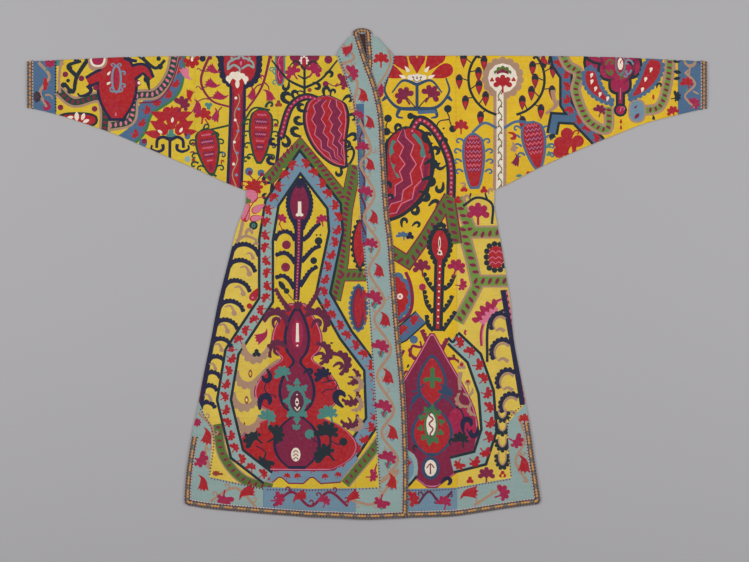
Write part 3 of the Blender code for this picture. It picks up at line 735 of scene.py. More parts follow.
# ---- Embroidery: left front, shoulder to waist ----
# A branched lyre hangs from the shoulder over a great striped paisley. Under it an olive band
# and a blue flower band rise to a point over a slim torch with scalloped branches.
stacked(LEFT, ("teal", "rose"), ((280, 66, 5.4, 20),))
stem(LEFT, "pink", [(280, 56), (278, 62), (280, 68), (278, 74), (280, 80)], 0.8)
curls(LEFT, "teal", [(274, 68, 4, -70, -1, 1.4), (276, 80, 4, -100, -1, 1.4), (275, 74, 4, -60, 1, 1.4)])
bloom(LEFT, "maroon", CARNATION, 304.5, 55, 15, 180)
blooms(LEFT, [
    ("cream", DAISY, 304, 60.5, 5), ("crimson", DROP, 304, 64, 4.6, 180),
    ("rose", SMALL_DISC, 304, 59.5, 2.2),
])
stem(LEFT, "ink", [(304.5, 68), (304.5, 96)], 2.4)
spray(LEFT, "ink", 304.5, 88, [[(0, 0), (17, -9), (33, -28)]], 2.8, 1.6)
spray(LEFT, "ink", 304.5, 69, [[(0, 0), (9, -8), (17, 0)], [(0, 10), (7, 6)]], 2.0, 1.2)
blooms(LEFT, [
    ("ink", FROND, 317, 85, 5.2, 120), ("ink", FROND, 328.5, 73.5, 5.2, 60),
    ("ink", FROND, 287, 86.5, 5.4, 200), ("rose", CARNATION, 293, 73, 8.2, -35),
    ("rose", CARNATION, 313.6, 71, 8.4, 35), ("maroon", SMALL_DISC, 328.3, 59.6, 4.2),
    ("maroon", SMALL_DISC, 325.6, 84, 3.2), ("rust", SMALL_DISC, 309.6, 90, 2.2),
    ("maroon", POSY, 342, 82.5, 8.4, 70), ("rust", CLOVER, 279, 104, 2.8),
    ("maroon", CARNATION, 276, 126, 2.6),
])
stem(LEFT, "maroon", [(328, 83), (334, 86), (338, 83)], 1.0)
curls(LEFT, "ink", [(303, 92, 5, -60, -1, 1.6)])
# The striped paisley, its bent stalk and its thorns
PAISLEY = paisley(327, 95, 71, 20, -5, 23)
STALK = [(280.5, 138), (290, 108), (305, 97), (321, 101)]
stem(LEFT, "ink", STALK, 8.2, 7.4)
form(LEFT, ("ink", "crimson"), [(x, y, h + 3.6) for x, y, h in PAISLEY], 2.6)
form(LEFT, ("pink", "crimson"), PAISLEY, 0.8)
stem(LEFT, "rose", STALK, 3.2, 2.8)
run_of(LEFT, "pink", ALMOND, STALK, 4.4, 1.7, 118, 0.6)
furrows(LEFT, "maroon", PAISLEY, (-0.46, 0.4), 8.4, 3.6, 13.0)
furrows(LEFT, "pink", PAISLEY, (-0.7, -0.22, 0.16, 0.64), 0.9, 3.6, 13.0)
blooms(LEFT, [("ink", FROND, x, y, 1.25 * size, turn) for x, y, size, turn in (
    (286, 99, 6.4, -50), (294, 95, 4.4, -20), (301.6, 109, 5, -70), (299, 122, 5.2, -80),
    (295.4, 133, 5.6, -60), (287, 141, 5.4, 160), (325, 91, 4.6, 0), (332, 92, 3.4, 20), (347.5, 98, 4.6, 60),
    (352, 116, 4.6, 80), (352, 136, 5, 70), (347, 143, 4.4, 120), (340, 172, 4.4, 180),
)])
stem(LEFT, "ink", [(351, 146), (354, 152), (352, 160), (347, 166), (340, 169)], 2.6, 2.4)
stem(LEFT, "ink", [(353, 149), (348, 150), (346, 155), (349, 157)], 2.2, 1.4)
# Blue leafy stem beside the armhole
stem(LEFT, "navy", [(279, 137), (278, 152), (275.5, 170), (272, 186), (271, 198)], 3.4)
blooms(LEFT, [("navy", FROND, x, y, s, t) for x, y, s, t in (
    (273, 143, 5.6, -70), (271, 162, 6, -70), (267, 181, 6, -80), (266, 197, 4.6, -90), (276.5, 195, 4.4, 80),
    (279, 139, 3.6, 30),
)])
for x, y, size in ((249, 171.5, 4.2), (261, 173, 3.6)):
    blooms(LEFT, [("steel", DISC, x, y, size), ("maroon", SMALL_DISC, x + 0.8, y + 1.4, size * 0.55)])
    stem(LEFT, "maroon", [(x, y + 3), (x + (255 - x) * 0.7, y + 8), (254.5, y + 12)], 1.2)
bloom(LEFT, "crimson", DAISY, 254, 187, 9.4, 0, 0.9)
curls(LEFT, "crimson", [(247, 182, 5, -70, -1, 1.5), (261, 182, 5, 60, 1, 1.5)])
# Olive band with maroon edges: up to a point, down beside the blue band, with one arm up
OLIVE = (
    ([(268, 180), (300, 146), (344, 199)], 13), ([(355, 165), (346, 210), (342, 262), (334, 300)], 14),
    ([(340, 275), (368, 275)], 13),
)
for silk, rim in (("maroon", 0), ("olive", 1)):
    for path, width in OLIVE:
        belt(LEFT, (silk,), path, width - 2 * rim)
for path, _ in OLIVE:
    run_of(LEFT, "maroon", ALMOND, path, 5.2, 3.2, 26)
# Torch, above the gourd
stem(LEFT, "yellow", [(299.5, 168), (300, 190), (299, 240), (297, 300)], 34)
TORCH = vase(299.5, 183, 225, 9, waist=0.1)
scalloped(LEFT, "navy", swelling(TORCH, 2.6), 2.6, 3.7)
form(LEFT, ("navy", "maroon"), [(x, y, half + 2.8) for x, y, half in TORCH], 2.6)
stem(LEFT, "navy", [(299.4, 178), (299.4, 188)], 1.2, 6)
TORCH_STEM = [(299, 219), (298.6, 250), (297.2, 280), (296.4, 300)]
stem(LEFT, "navy", TORCH_STEM, 9.6, 6.0)
stem(LEFT, "maroon", TORCH_STEM, 3.6, 2.2)
run_of(LEFT, "pink", SMALL_DISC, TORCH_STEM, 3.1, 0.75)
stem(LEFT, "cream", [(299.6, 201.5), (299.6, 214)], 3.4)
bloom(LEFT, "cream", CLOVER, 299.5, 214, 4.2, 0, 0.8)
for path, out in (
    ([(294.5, 241), (291, 235), (285, 232.5), (279, 235), (276, 241)], 1),
    ([(294.5, 264), (290, 257.5), (284, 254), (276, 256.5)], 1),
    ([(293.5, 289), (289, 281.5), (283, 277), (276, 279)], 1),
    ([(303, 241), (309, 236.5), (314, 230), (321, 224)], -1),
    ([(302, 262.5), (308, 256), (314, 250), (321, 247)], -1),
    ([(300.5, 287), (306, 279), (311, 272), (318, 267.5)], -1),
):
    leafy(LEFT, "navy", path, 2.8, 1.4, 2.9, 3.5, out)
blooms(LEFT, [
    ("maroon", DISC, 286.4, 244.8, 4.5), ("maroon", DISC, 285.6, 267.2, 4.6), ("ink", DISC, 318.6, 241, 4.0),
    ("ink", DISC, 313.7, 260.6, 3.5), ("ink", SMALL_DISC, 316.6, 235, 1.0),
    ("ink", SMALL_DISC, 320.4, 235, 1.0), ("rose", CARNATION, 281, 219.5, 6, 20),
    ("rose", CARNATION, 322, 220.5, 6.4, -10), ("ink", ALMOND, 282, 285.5, 5.6, -35),
    ("ink", SMALL_DISC, 286.6, 291, 3),
])
stem(LEFT, "crimson", [(279.6, 224), (282.5, 231)], 0.9)
stem(LEFT, "ink", [(288, 294), (296, 303)], 0.8)
# Blue flower band with dark edges, over the torch and down both sides of the gourd
WEST = [(300, 162), (272, 203), (266, 240), (266, 300), (232, 352), (224, 400), (237, 454), (268, 478)]
EAST = [(300, 162), (334, 206), (336, 232), (323, 294), (346, 335), (371, 368), (373, 420), (337, 474)]
COURSE = WEST[::-1] + EAST[1:]
belt(LEFT, ("ink", "sky"), COURSE, 16.4, 2.7)
belt(LEFT, ("aqua",), [(271.4, 207)] + WEST[2:], 11)
flowered(LEFT, COURSE, 12.6, "crimson", 5.3, POSY)

# ---- Embroidery: left front, the gourd ----
# A great red gourd holds a dark torch with a bulb and a foot. Cockscombs in maroon and tan
# stand round it inside the blue flower band, which closes under it in steps.
RISES = (280, 312)
course = [(256, 479)]
for x in RISES:
    course += [(x - 11, 477), (x - 4, 471), (x + 4, 471), (x + 11, 477)]
belt(LEFT, ("maroon", "sky"), course + [(337, 476), (357, 457)], 14, 1.3)
blooms(LEFT, [("crimson", POSY, 351, 455, 4, 0), ("crimson", POSY, 341, 464, 4.4, 40)] + [
    ("crimson", CARNATION, x, y, 3.6, 10 * (-1) ** k)
    for k, (x, y) in enumerate((
        (266.5, 478.5), (277.6, 470.4), (287, 476.4), (297.5, 476.4), (311.6, 470.4), (325, 476.8),
        (338, 475),
    ))
])
GOURD = vase(297, 303, 471, 58, swells=3, head=0.2, waist=0.45)
form(LEFT, ("tan",), [(x - 3, y, half + 3) for x, y, half in GOURD[6:]])
form(LEFT, ("maroon", "pink", "crimson"), [(x, y, half + 2) for x, y, half in GOURD], 1.1)
SPINE = vase(297, 308, 469, 24, swells=3, head=0.4)
form(LEFT, ("navy", "maroon"), SPINE, 3.1)
bloom(LEFT, "rose", DISC, 297.4, 334, 6, 0, 2.4)
stem(LEFT, "cream", [(297.4, 323), (297.4, 342)], 2.4, 3.4)
bloom(LEFT, "cream", SMALL_DISC, 297.4, 345.5, 1.0)
for turn in range(0, 360, 45):
    way = math.radians(turn)
    bloom(LEFT, "teal", CLOVER, 297 + 10.6 * math.sin(way), 401 - 19 * math.cos(way), 3.8, turn)
blooms(LEFT, [
    ("teal", CARNATION, 296.4, 426, 4.4, 180), ("teal", ALMOND, 297, 401.4, 19, 0, 0.9),
    ("plum", ALMOND, 297, 401.4, 14, 0, 0.8),
])
blooms(LEFT, [
    ("cream", ALMOND, 297, 402, 3.6, 0, 1.2), ("plum", SMALL_DISC, 297, 402, 1.3),
    ("cream", SMALL_DISC, 297, 394.6, 0.8),
])
stem(LEFT, "cream", [(294.8, 407), (297.3, 410.4), (299.8, 407)], 1.2)
hatched(LEFT, 295.8, 454.5, 4.8, 1.45)
blooms(LEFT, [
    ("teal", CREST, 283.6, 374, 8.4, -20), ("navy", FROND, 268, 376, 7.4, 170),
    ("navy", FROND, 263, 401, 9.6, 20), ("teal", CREST, 268, 418.4, 9, 10),
    ("navy", CREST, 324, 375.6, 9, -30), ("navy", FROND, 338.6, 399, 9.6, -30),
    ("teal", CREST, 329, 415, 10, -10), ("teal", DISC, 309.6, 434, 4.8), ("ink", CREST, 254, 439, 9.8, -50),
    ("ink", CREST, 275, 435.6, 10, 60), ("ink", CREST, 265, 460.6, 8.6, 200),
    ("ink", CREST, 328, 433.4, 12, 0), ("ink", DISC, 343.4, 441.6, 4.2), ("ink", CREST, 326, 454, 11, -40),
    ("navy", FROND, 308, 371, 5.4, 60),
])
for path in (
    [(266, 383), (264.5, 388), (267, 393), (273, 395), (276, 398)],
    [(322, 383), (334, 380), (337, 385), (334, 390)], [(322, 393), (326, 389.6), (333, 389)],
    [(256, 446), (262, 449), (266, 453)], [(311, 437), (315, 441), (318, 442)],
    [(330, 440), (337, 444), (342, 443)], [(326, 449), (331, 445)],
):
    stem(LEFT, "navy", path, 1.1)
# Cockscombs round the gourd:   silk, x, y, reach, turn
COMBS = (
    ("plum", 276, 320, 12, -80), ("plum", 277, 350, 10, -120), ("plum", 317, 321, 12.8, -50),
    ("plum", 321.4, 353, 11, -10), ("plum", 339.4, 363, 11.6, -20), ("plum", 352.6, 377, 8, 20),
    ("plum", 351, 397, 9, 60), ("plum", 350, 420, 9, 70), ("tan", 255, 350, 13, 100),
    ("tan", 247, 377, 11.5, 105), ("tan", 244, 399, 12, 105), ("tan", 248, 421, 11.6, 90),
    ("tan", 356, 384, 7.4, 0), ("tan", 356, 404, 7.4, 20), ("tan", 355.6, 424, 7.4, 30),
)
for silk, x, y, reach, turn in COMBS:
    comb(LEFT, silk, x, y, reach * 1.12, turn, 230, 0.56, 7)
    if silk == "plum":
        bloom(LEFT, silk, FROND, x - 0.1 * reach, y + 0.16 * reach, reach * 0.5, turn + 90)
for hand in (-1, 1):
    path = [(298 + 22 * hand, 288), (298 + 17 * hand, 298), (298 + 8 * hand, 311)]
    leafy(LEFT, "plum", path, 2.4, 5.6, 2.4, 3.6, 1.0)
blooms(LEFT, [
    ("plum", DAISY, 298, 305, 4.8), ("rose", TULIP, 262, 336, 8.4, 60), ("ink", CLOVER, 256.6, 353.4, 4.6),
    ("maroon", ALMOND, 250.4, 373.6, 4.2), ("yellow", ALMOND, 250.4, 373.6, 2.4),
    ("maroon", ALMOND, 246.6, 400, 4.2), ("yellow", ALMOND, 246.6, 400, 2.4),
    ("cream", SMALL_DISC, 246.6, 400, 0.8), ("rust", ALMOND, 244.4, 423.4, 1.6),
    ("ink", ALMOND, 331.6, 343, 1.8, 90), ("rust", SMALL_DISC, 348.6, 483.6, 1.6),
])
# Half flowers cut through by the wedge seam, and the corner band
HALF_FLOWER = vase(359.8, 219, 270, 8, waist=0.1)
scalloped(LEFT, "ink", swelling(HALF_FLOWER), 1.9, 5.6)
form(LEFT, ("ink", "crimson"), HALF_FLOWER, 2.0)
stem(LEFT, "crimson", [(360, 232), (360.4, 262)], 7)
HALF_BUD = vase(358.4, 286, 330, 8)
scalloped(LEFT, "steel", swelling(HALF_BUD), 2.4, 5.0)
form(LEFT, ("storm", "maroon", "crimson"), HALF_BUD, 2.0)
stem(LEFT, "crimson", [(364, 290), (363.6, 306), (366, 322)], 3.4, 1.6)
CORNER = [(383, 436), (369, 455), (354, 473), (345, 484)]
band(LEFT, CORNER, 11.4, "olive", "tan", 1.3, "maroon", 6.2, (1.0, 2.6))
bloom(LEFT, "rose", POSY, 371.6, 476, 6.2, 90)
stem(LEFT, "rose", [(374.6, 471), (377, 463)], 2.4, 0.8)

# ---- Embroidery: left gore ----
# A pink flower under the arm, a dark stripe down the side with cockscombs springing from it,
# and the tan-edged green band that runs out into the corner.
stacked(LEFT, ("crimson", "pink"), ((249, 196, 9, 7), (245, 210, 5, 12)), 0.8)
blooms(LEFT, [
    ("olive", CLOVER, 247.6, 200.6, 3.6, 90), ("crimson", drop_outline(0.2), 258.4, 207.6, 8.2, 52),
    ("pink", drop_outline(0.2), 258.4, 207.6, 7.2, 52), ("crimson", DROP, 257, 218, 7.6, 80),
    ("pink", DROP, 257, 218, 6.4, 80), ("crimson", CLOVER, 244.6, 220.4, 2.6),
])
stem(LEFT, "crimson", [(245, 219), (251, 206), (258, 198), (266, 197)], 1.0)
ringed(LEFT, ("ink", "fern", "teal", "ink"), 253.5, 225.4, 4.4, 1.2)
for path, width, tip in (
    ([(243, 221), (239, 238), (233, 251)], 3.4, 3.4), ([(236, 241), (246, 236), (257, 240)], 3.4, 2.2),
):
    stem(LEFT, "tan", path, width, tip)
blooms(LEFT, [("tan", FROND, 248, 232.4, 5.6, 20), ("tan", CLOVER, 256, 243, 3)])
STRIPE = [(231, 248), (216, 314), (204, 376), (198.6, 409)]
stem(LEFT, "maroon", [(x - 1.8, y) for x, y in STRIPE], 4.6)
run_of(LEFT, "pink", ALMOND, [(x - 2.9, y) for x, y in STRIPE], 6.0, 2.5, 90, 1.0)
stem(LEFT, "navy", [(x + 2.0, y) for x, y in STRIPE], 4.6)
# Combs on the stripe:   y of the comb's root, its reach
for root, reach in (
    (253, 15), (269, 15), (289, 14.5), (309, 13.4), (327, 12), (345, 10.4), (362, 9), (377, 7.6), (390, 7),
    (407, 7.4),
):
    x = float(np.interp(root, [y for _, y in STRIPE], [x for x, _ in STRIPE])) + 2
    arch = [
        (x, root), (x + reach * 0.35, root - reach * 0.42), (x + reach * 0.95, root - reach * 0.5),
        (x + reach * 1.5, root - reach * 0.2), (x + reach * 1.72, root + reach * 0.25),
    ]
    leafy(LEFT, "navy", arch, 3.4, 1.4, 2.6, 3.3, -1.0)
# Tan commas under the combs:   x, y, size
for x, y, size in (
    (251, 256, 4.4), (246.6, 271, 6.6), (240.6, 291, 6.4), (231.4, 310.4, 6.8), (225, 328.6, 6.2),
    (219.4, 347.6, 5.2), (213.4, 366.6, 4.4), (208.6, 397.6, 4.6),
):
    stem(LEFT, "tan", [
        (x - size, y - size * 0.5), (x - size * 0.2, y - size * 0.7), (x + size * 0.3, y + 0.1),
        (x + size * 0.5, y + size * 0.8),
    ], 1.4, 3.6)
    bloom(LEFT, "tan", SMALL_DISC, x + size * 0.4, y + size * 0.4, size * 0.42)
blooms(LEFT, [
    ("crimson", drop_outline(0.5, 0.8), 253.5, 294, 7.2, 10), ("rose", DROP, 253, 296.6, 3.4, 10),
    ("pink", SMALL_DISC, 252.6, 297.6, 1.1), ("crimson", SMALL_DISC, 249.4, 306, 2.9),
])
band(
    LEFT, [(217.5, 424), (223, 455), (243, 479), (272, 488)], 11.0, "olive", "tan", 1.3, "maroon", 6.4,
    (1.0, 2.7),
)
belt(LEFT, ("ink", "aqua"), WEST[-4:], 16.4, 2.7)
flowered(LEFT, WEST[-4:], 12.6, "crimson", 5.3, POSY)
blooms(LEFT, [("rust", DAISY, 216, 473.4, 4.2, 0, 0.7), ("rust", ALMOND, 221, 474, 2.4, 90)])

# ---- Embroidery: left borders ----
# Pale borders run up the slit, along the hem and up the whole front edge, with a tan vine
# and a tulip or a posy in every bend. The hem is a bluer lot of silk between the seams.
HEM_GROUND = [(186, 400), (198, 400), (213, 434), (209, 477), (263.4, 488.6), (263.4, 530), (170, 530)]
sew(LEFT, "aqua", HEM_GROUND)
sew(LEFT, "sky", [(263, 487), (310, 488.6), (356, 488), (356, 530), (263, 530)])
sew(LEFT, "aqua", [(355.6, 488), (420, 486), (420, 530), (355.6, 530)])
# Front band, neck to hem:   y, x of its inner edge
BAND_ROWS = (
    (36, 352), (55, 337.6), (80, 346), (120, 355.6), (200, 359.2), (300, 368), (400, 374.4), (488, 379),
)
inner_edge = [(x, y) for y, x in BAND_ROWS]
sew(LEFT, "aqua", np.concatenate([flowing(inner_edge), [(440, 488), (440, 20), (352, 20)]]))
stem(LEFT, "steel", [(360, 104), (361, 150), (363, 200), (364.4, 244)], 8.0, 5.0)
stem(LEFT, "plum", winding([(361, 106), (364, 242)], 2, 26), 1.8)
# Flowers of the front band:   silk, outline, x, y, size, turn
FRONT_FLOWERS = (
    ("crimson", TULIP, 348, 49, 6.2, 60), ("rose", POSY, 351.4, 73.6, 6.4, 60),
    ("crimson", TULIP, 362.6, 95, 6.4, 0), ("rose", POSY, 358.6, 116, 4.6, 30),
    ("crimson", TULIP, 369.4, 122, 6.0, 0), ("rose", POSY, 363, 148, 5.6, 0),
    ("crimson", TULIP, 369.6, 164, 6.0, 0), ("rose", POSY, 366, 193, 6.2, 20),
    ("crimson", TULIP, 373.4, 217, 6.2, 10), ("rose", POSY, 371, 245, 6.2, 10),
    ("crimson", TULIP, 378.4, 270, 6.4, 0), ("rose", POSY, 374.4, 299, 7.2, 30),
    ("crimson", TULIP, 384.4, 319, 6.8, 0), ("rose", POSY, 381, 348, 7.2, 20),
    ("crimson", TULIP, 387.4, 376, 7.0, 0), ("rose", POSY, 384, 408, 7.2, 20),
    ("crimson", TULIP, 392, 432, 7.0, 0), ("rose", POSY, 388, 459, 7.2, 20),
    ("crimson", TULIP, 391.6, 481, 7.0, 10), ("rose", POSY, 381.4, 501, 6.4, 200),
)
# The vine swings round each flower in turn
turns = [(342, 38), (351, 60), (358, 66), (347, 84), (356, 88), (371, 106)]
for silk, outline, x, y, size, _ in FRONT_FLOWERS[4:-1]:
    turns.append((x + (9.6 if silk == "rose" else -10.4) * size / 7, y + 1))
vine = [
    (352, 30), (343, 42), (354, 58), (341, 66), (357, 82), (354, 104),
] + turns[6:] + [(398, 470), (386, 489), (372, 504), (352, 500)]
stem(LEFT, "tan", vine, 2.8)
for x, y, way in spaced(flowing(vine), 15.0):
    hand = 1 if int(y) % 2 else -1
    curls(LEFT, "tan", [(x, y, 4.6, way + 90 + 40 * hand, hand, 1.3)])
for silk, outline, x, y, size, turn in FRONT_FLOWERS:
    bloom(LEFT, "teal" if silk == "rose" else "sky", CLOVER, x, y + size * 0.8, size * 0.55, 180)
    bloom(LEFT, silk, outline, x, y, 1.28 * size, turn, 0.9)
# Hem and slit vine, with its flowers
HEM_VINES = (
    ("tan", winding([(199, 402), (210, 440), (204, 478)], 4, 32), 2.6),
    ("tan", winding([(200, 492), (268, 500)], 8, 36), 2.6),
    ("maroon", winding([(264, 499), (357, 499)], 7, 34), 2.8),
)
for silk, path, width in HEM_VINES:
    stem(LEFT, silk, path, width)
    for x, y, way in spaced(flowing(path), 13.0):
        curls(LEFT, silk, [(x, y, 5, way + 60, 1 if int(x) % 2 else -1, 1.8)])
blooms(LEFT, [(silk, outline, x, y, 1.15 * size, turn) for silk, outline, x, y, size, turn in (
    ("rose", DAISY, 197, 422.4, 4.0, 0), ("crimson", TULIP, 206.6, 436, 7.6, 10),
    ("rose", POSY, 199.4, 459.4, 7.4, 120), ("crimson", TULIP, 202.6, 483, 7.4, 0),
    ("rose", POSY, 224.6, 498, 7.4, 190), ("crimson", TULIP, 246.4, 492.6, 8.4, 250),
    ("rose", POSY, 277.4, 499.6, 6.4, 90), ("crimson", TULIP, 299.4, 496.6, 7.2, 250),
    ("rose", POSY, 324.4, 501.6, 5.6, 20), ("crimson", TULIP, 352.6, 497, 7.2, 240),
)])
# Dark running stitches along the edges of the borders
DOT = round_outline(count=5)
for path in (
    [(x + 0.9, y) for x, y in inner_edge[1:]], [(200, 408), (213.4, 436), (209.6, 476)],
    [(210, 478), (264, 489.4)], [(266, 489.6), (310, 490), (356, 489.4)], [(358, 489), (378, 488)],
    [(186, 503), (240, 510), (300, 513.6), (378, 513.4)],
):
    run_of(LEFT, "plum", DOT, path, 3.0, 0.9)

# ---- Embroidery: right front ----
# A red palmette on the shoulder over a blue lyre, then a great striped paisley on a bent
# stalk. Below it a green band in zigzags, a leafy torch and a pointed red medallion.
RIGHT = 1
for turn, reach, size in ((0, 24, 15), (-36, 28, 15), (36, 28, 15), (-66, 26, 13), (66, 26, 13)):
    way = math.radians(turn)
    bloom(
        RIGHT, "crimson", drop_outline(0.0, 0.74), 417 + reach * math.sin(way), 83 - reach * math.cos(way),
        size, turn + 180,
    )
    if turn:
        bloom(
            RIGHT, "cream", DROP, 417 + 0.62 * reach * math.sin(way), 83 - 0.62 * reach * math.cos(way), 3.8,
            turn,
        )
bloom(RIGHT, "yellow", DROP, 417, 56, 2.6, 180)
for step in range(-2, 3):
    bloom(RIGHT, "cream", DISC, 417 + 3.4 * step, 76.6 + 0.5 * abs(step), 2.9)
bloom(RIGHT, "cream", DISC, 417, 80.6, 2.8)
blooms(RIGHT, [("plum", DROP, 417 + step, 77.6 - abs(step) * 0.1, 1.6, 10 * step) for step in (-4, 0, 4)])
stem(RIGHT, "plum", [(413.4, 79), (417, 82), (420.8, 79)], 0.7)
stem(RIGHT, "storm", [(417, 84), (417, 111)], 3.2)
spray(RIGHT, "storm", 417, 84.6, [[(0, 0), (14, -4), (25, 8)]], 3.4, 1.4)
spray(RIGHT, "storm", 417, 109, [
    [(0, 0), (20, -2), (32, -17), (29, -31)], [(17, -1), (20, 7), (14, 9)], [(31, -12), (35, -8)],
], 4.2, 1.6)
for hand in (-1, 1):
    stem(RIGHT, "ink", [(417 + hand, 108), (417 + 10 * hand, 97.6)], 1.1)
    bloom(RIGHT, "maroon", CARNATION, 417.6 + 13 * hand, 95.6 - hand, 10, 34 * hand)
sew(RIGHT, "steel", [(417, 110.6), (434.6, 109.6), (437.4, 113), (418.4, 114.2)])
blooms(RIGHT, [("ink", SMALL_DISC, x, y, 4.0) for x, y in ((388, 118.4), (386.6, 131.6), (447.8, 108.8))] + [
    ("rose", ALMOND, 380, 87, 7.4, 24), ("ink", SMALL_DISC, 410.4, 116, 3.4),
    ("ink", SMALL_DISC, 452.6, 129, 3.6), ("ink", SMALL_DISC, 443.6, 128.4, 1.1),
])
stem(RIGHT, "ink", [(412, 116), (420, 119)], 4)
for path in (
    [(388, 121), (386, 127), (392, 133), (400, 131)],
    [(447, 112), (449, 119), (440, 121), (437, 127), (443, 134)], [(449, 119), (452, 128)],
):
    stem(RIGHT, "ink", path, 1.3)
# The striped paisley
PAISLEY_B = paisley(402, 127, 86, 19, 26, -48, 8)
STALK_B = [(411, 133), (420, 120), (436, 132), (450, 162), (451, 199)]
stem(RIGHT, "ink", STALK_B, 9.6)
form(RIGHT, ("ink", "crimson"), [(x, y, h + 3.8) for x, y, h in PAISLEY_B], 3.8)
stem(RIGHT, "maroon", STALK_B, 4.0)
run_of(RIGHT, "crimson", ALMOND, STALK_B, 9.2, 3.8, 90, 1.0)
run_of(RIGHT, "pink", ALMOND, STALK_B, 4.6, 2.4, 40, 0.5)
stem(RIGHT, "teal", [(395, 141), (392, 150), (392.4, 160), (395, 170), (398.6, 178)], 6.4, 2.0)
stem(RIGHT, "teal", [(413, 134), (418.6, 140), (421.6, 148), (423.4, 157)], 3.6, 5)
blooms(RIGHT, [("crimson", DISC, x, y, r) for x, y, r in (
    (399, 147.6, 6.4), (396.6, 158.6, 6.6), (399.6, 168.6, 5.6), (415.4, 148, 5.8),
)])
furrows(RIGHT, "maroon", PAISLEY_B, (-0.8,), 4.4, 1.0, 18.0, (0.34, 0.98))
furrows(RIGHT, "maroon", PAISLEY_B, (0.06,), 8.4, 5.2, 18.0, (0.02, 1.0))
furrows(RIGHT, "pink", PAISLEY_B, (-0.2, 0.32), 1.1, 5.2, 18.0, (0.02, 1.0))
furrows(RIGHT, "pink", PAISLEY_B, (-0.62,), 1.1, 4.6, 18.0, (0.32, 1.0))
stem(RIGHT, "ink", [(431, 158), (430, 180), (426, 196), (412, 210)], 1.8)
blooms(RIGHT, [("ink", FROND, x, y, 1.18 * size, turn) for x, y, size, turn in (
    (397, 128, 4.6, 0), (385, 144, 4.4, 200), (427, 139, 6.4, -50), (434, 150, 5.6, 60), (443, 141, 4.2, 30),
    (431, 163, 6.2, 80), (441, 167, 4.6, 250), (429, 180, 6.4, 90), (441, 188, 5.4, 200), (425, 195, 6, 120),
    (434, 203, 5.4, 60), (416, 209, 5.6, 160), (386, 186, 5.4, 20), (389, 197, 4.2, 40), (403, 222, 4.6, 10),
    (416, 224, 4, 60),
)])
blooms(RIGHT, [("steel", POSY, 403, 236, 6.4, 0, 0.7), ("navy", CLOVER, 410, 236, 4.4, 0)])
# Green band in zigzags: maroon edges on the front, tan on the gore
GREEN_BANDS = (("tan", "moss", 2.0, (
    [(457, 198), (472, 232), (501, 232)], [(462, 226), (472, 262), (477, 286), (458, 322)],
    [(472, 281), (508, 281)],
)), ("maroon", "olive", 1.6, ([(450, 196), (426, 236), (408, 262), (386, 248)], [(449, 198), (456, 244)])))
for rim_silk, silk, rim, courses in GREEN_BANDS:
    for path in courses:
        belt(RIGHT, (rim_silk,), path, 13)
    for path in courses:
        belt(RIGHT, (silk,), path, 13 - 2 * rim)
        run_of(RIGHT, "maroon", ALMOND, path, 7.2, 3.6, 26)
# Torch with leafy branches
TORCH_B = vase(439.8, 228, 262, 8, waist=0.1)
scalloped(RIGHT, "ink", swelling(TORCH_B, 2.8), 2.8, 5.0)
stem(RIGHT, "ink", [(439.8, 254), (437.6, 331)], 10.6, 10)
form(RIGHT, ("ink", "crimson"), [(x, y, half + 2.4) for x, y, half in TORCH_B], 2.4)
stem(RIGHT, "crimson", [(439.8, 254), (437.6, 329)], 4.2, 3.4)
run_of(RIGHT, "cream", SMALL_DISC, [(440, 263), (439.2, 285), (437.8, 326)], 6.2, 0.9)
blooms(RIGHT, [
    ("ink", CLOVER, 441.4, 225, 3.6), ("cream", ALMOND, 439.6, 243, 2.6, 0, 2.6),
    ("plum", ALMOND, 439.6, 243, 1.2, 0, 3.2), ("cream", TULIP, 439.6, 252, 4.4, 0, 0.8),
    ("plum", SMALL_DISC, 439.6, 252.6, 1.3),
])
for path, out in (
    ([(434, 291), (428, 284), (422, 273)], 1), ([(432.6, 313), (426, 304), (422.6, 290)], 1),
    ([(433, 331), (427, 325), (425, 315)], 1), ([(444, 290), (451, 285), (456, 275)], -1),
    ([(443, 312), (449, 305), (454, 296)], -1), ([(443, 331), (450, 322), (457, 312)], -1),
):
    leafy(RIGHT, "ink", path, 3.0, 1.0, 3.0, 4.4, out)
blooms(RIGHT, [
    ("maroon", CARNATION, 421.6, 268, 9.2, -10), ("rose", CARNATION, 456.4, 268, 9.4, 20),
    ("rose", POSY, 461, 285, 6.0, 100), ("rose", SMALL_DISC, 422.4, 287, 3.6),
])
# Scalloped half flower and blue branch under the front edge
for silk, out, size in (("steel", 4, 5.8), ("crimson", 0, 5)):
    for turn in range(30, 151, 24):
        way = math.radians(turn)
        bloom(
            RIGHT, silk, SMALL_DISC, 388 + (16 + out) * math.sin(way), 297 - (18 + out) * math.cos(way), size,
        )
sew(RIGHT, "crimson", [(385, 278), (402, 282), (402, 312), (385, 316)])
blooms(RIGHT, [("cream", DISC, 400, 296.4, 3.0), ("pink", SMALL_DISC, 400, 296.4, 1.5)])
stem(RIGHT, "maroon", [(405.6, 272), (410.4, 284), (412.4, 300), (409, 314), (398, 323)], 3.4)
belt(RIGHT, ("ink", "steel"), [(384, 342), (402, 334), (421, 317)], 17, 1.6)
blooms(RIGHT, [
    ("crimson", POSY, 415.6, 320, 5.4, -60), ("crimson", POSY, 404, 330, 5.4, -50),
    ("steel", DISC, 413.8, 339.6, 4.2),
])
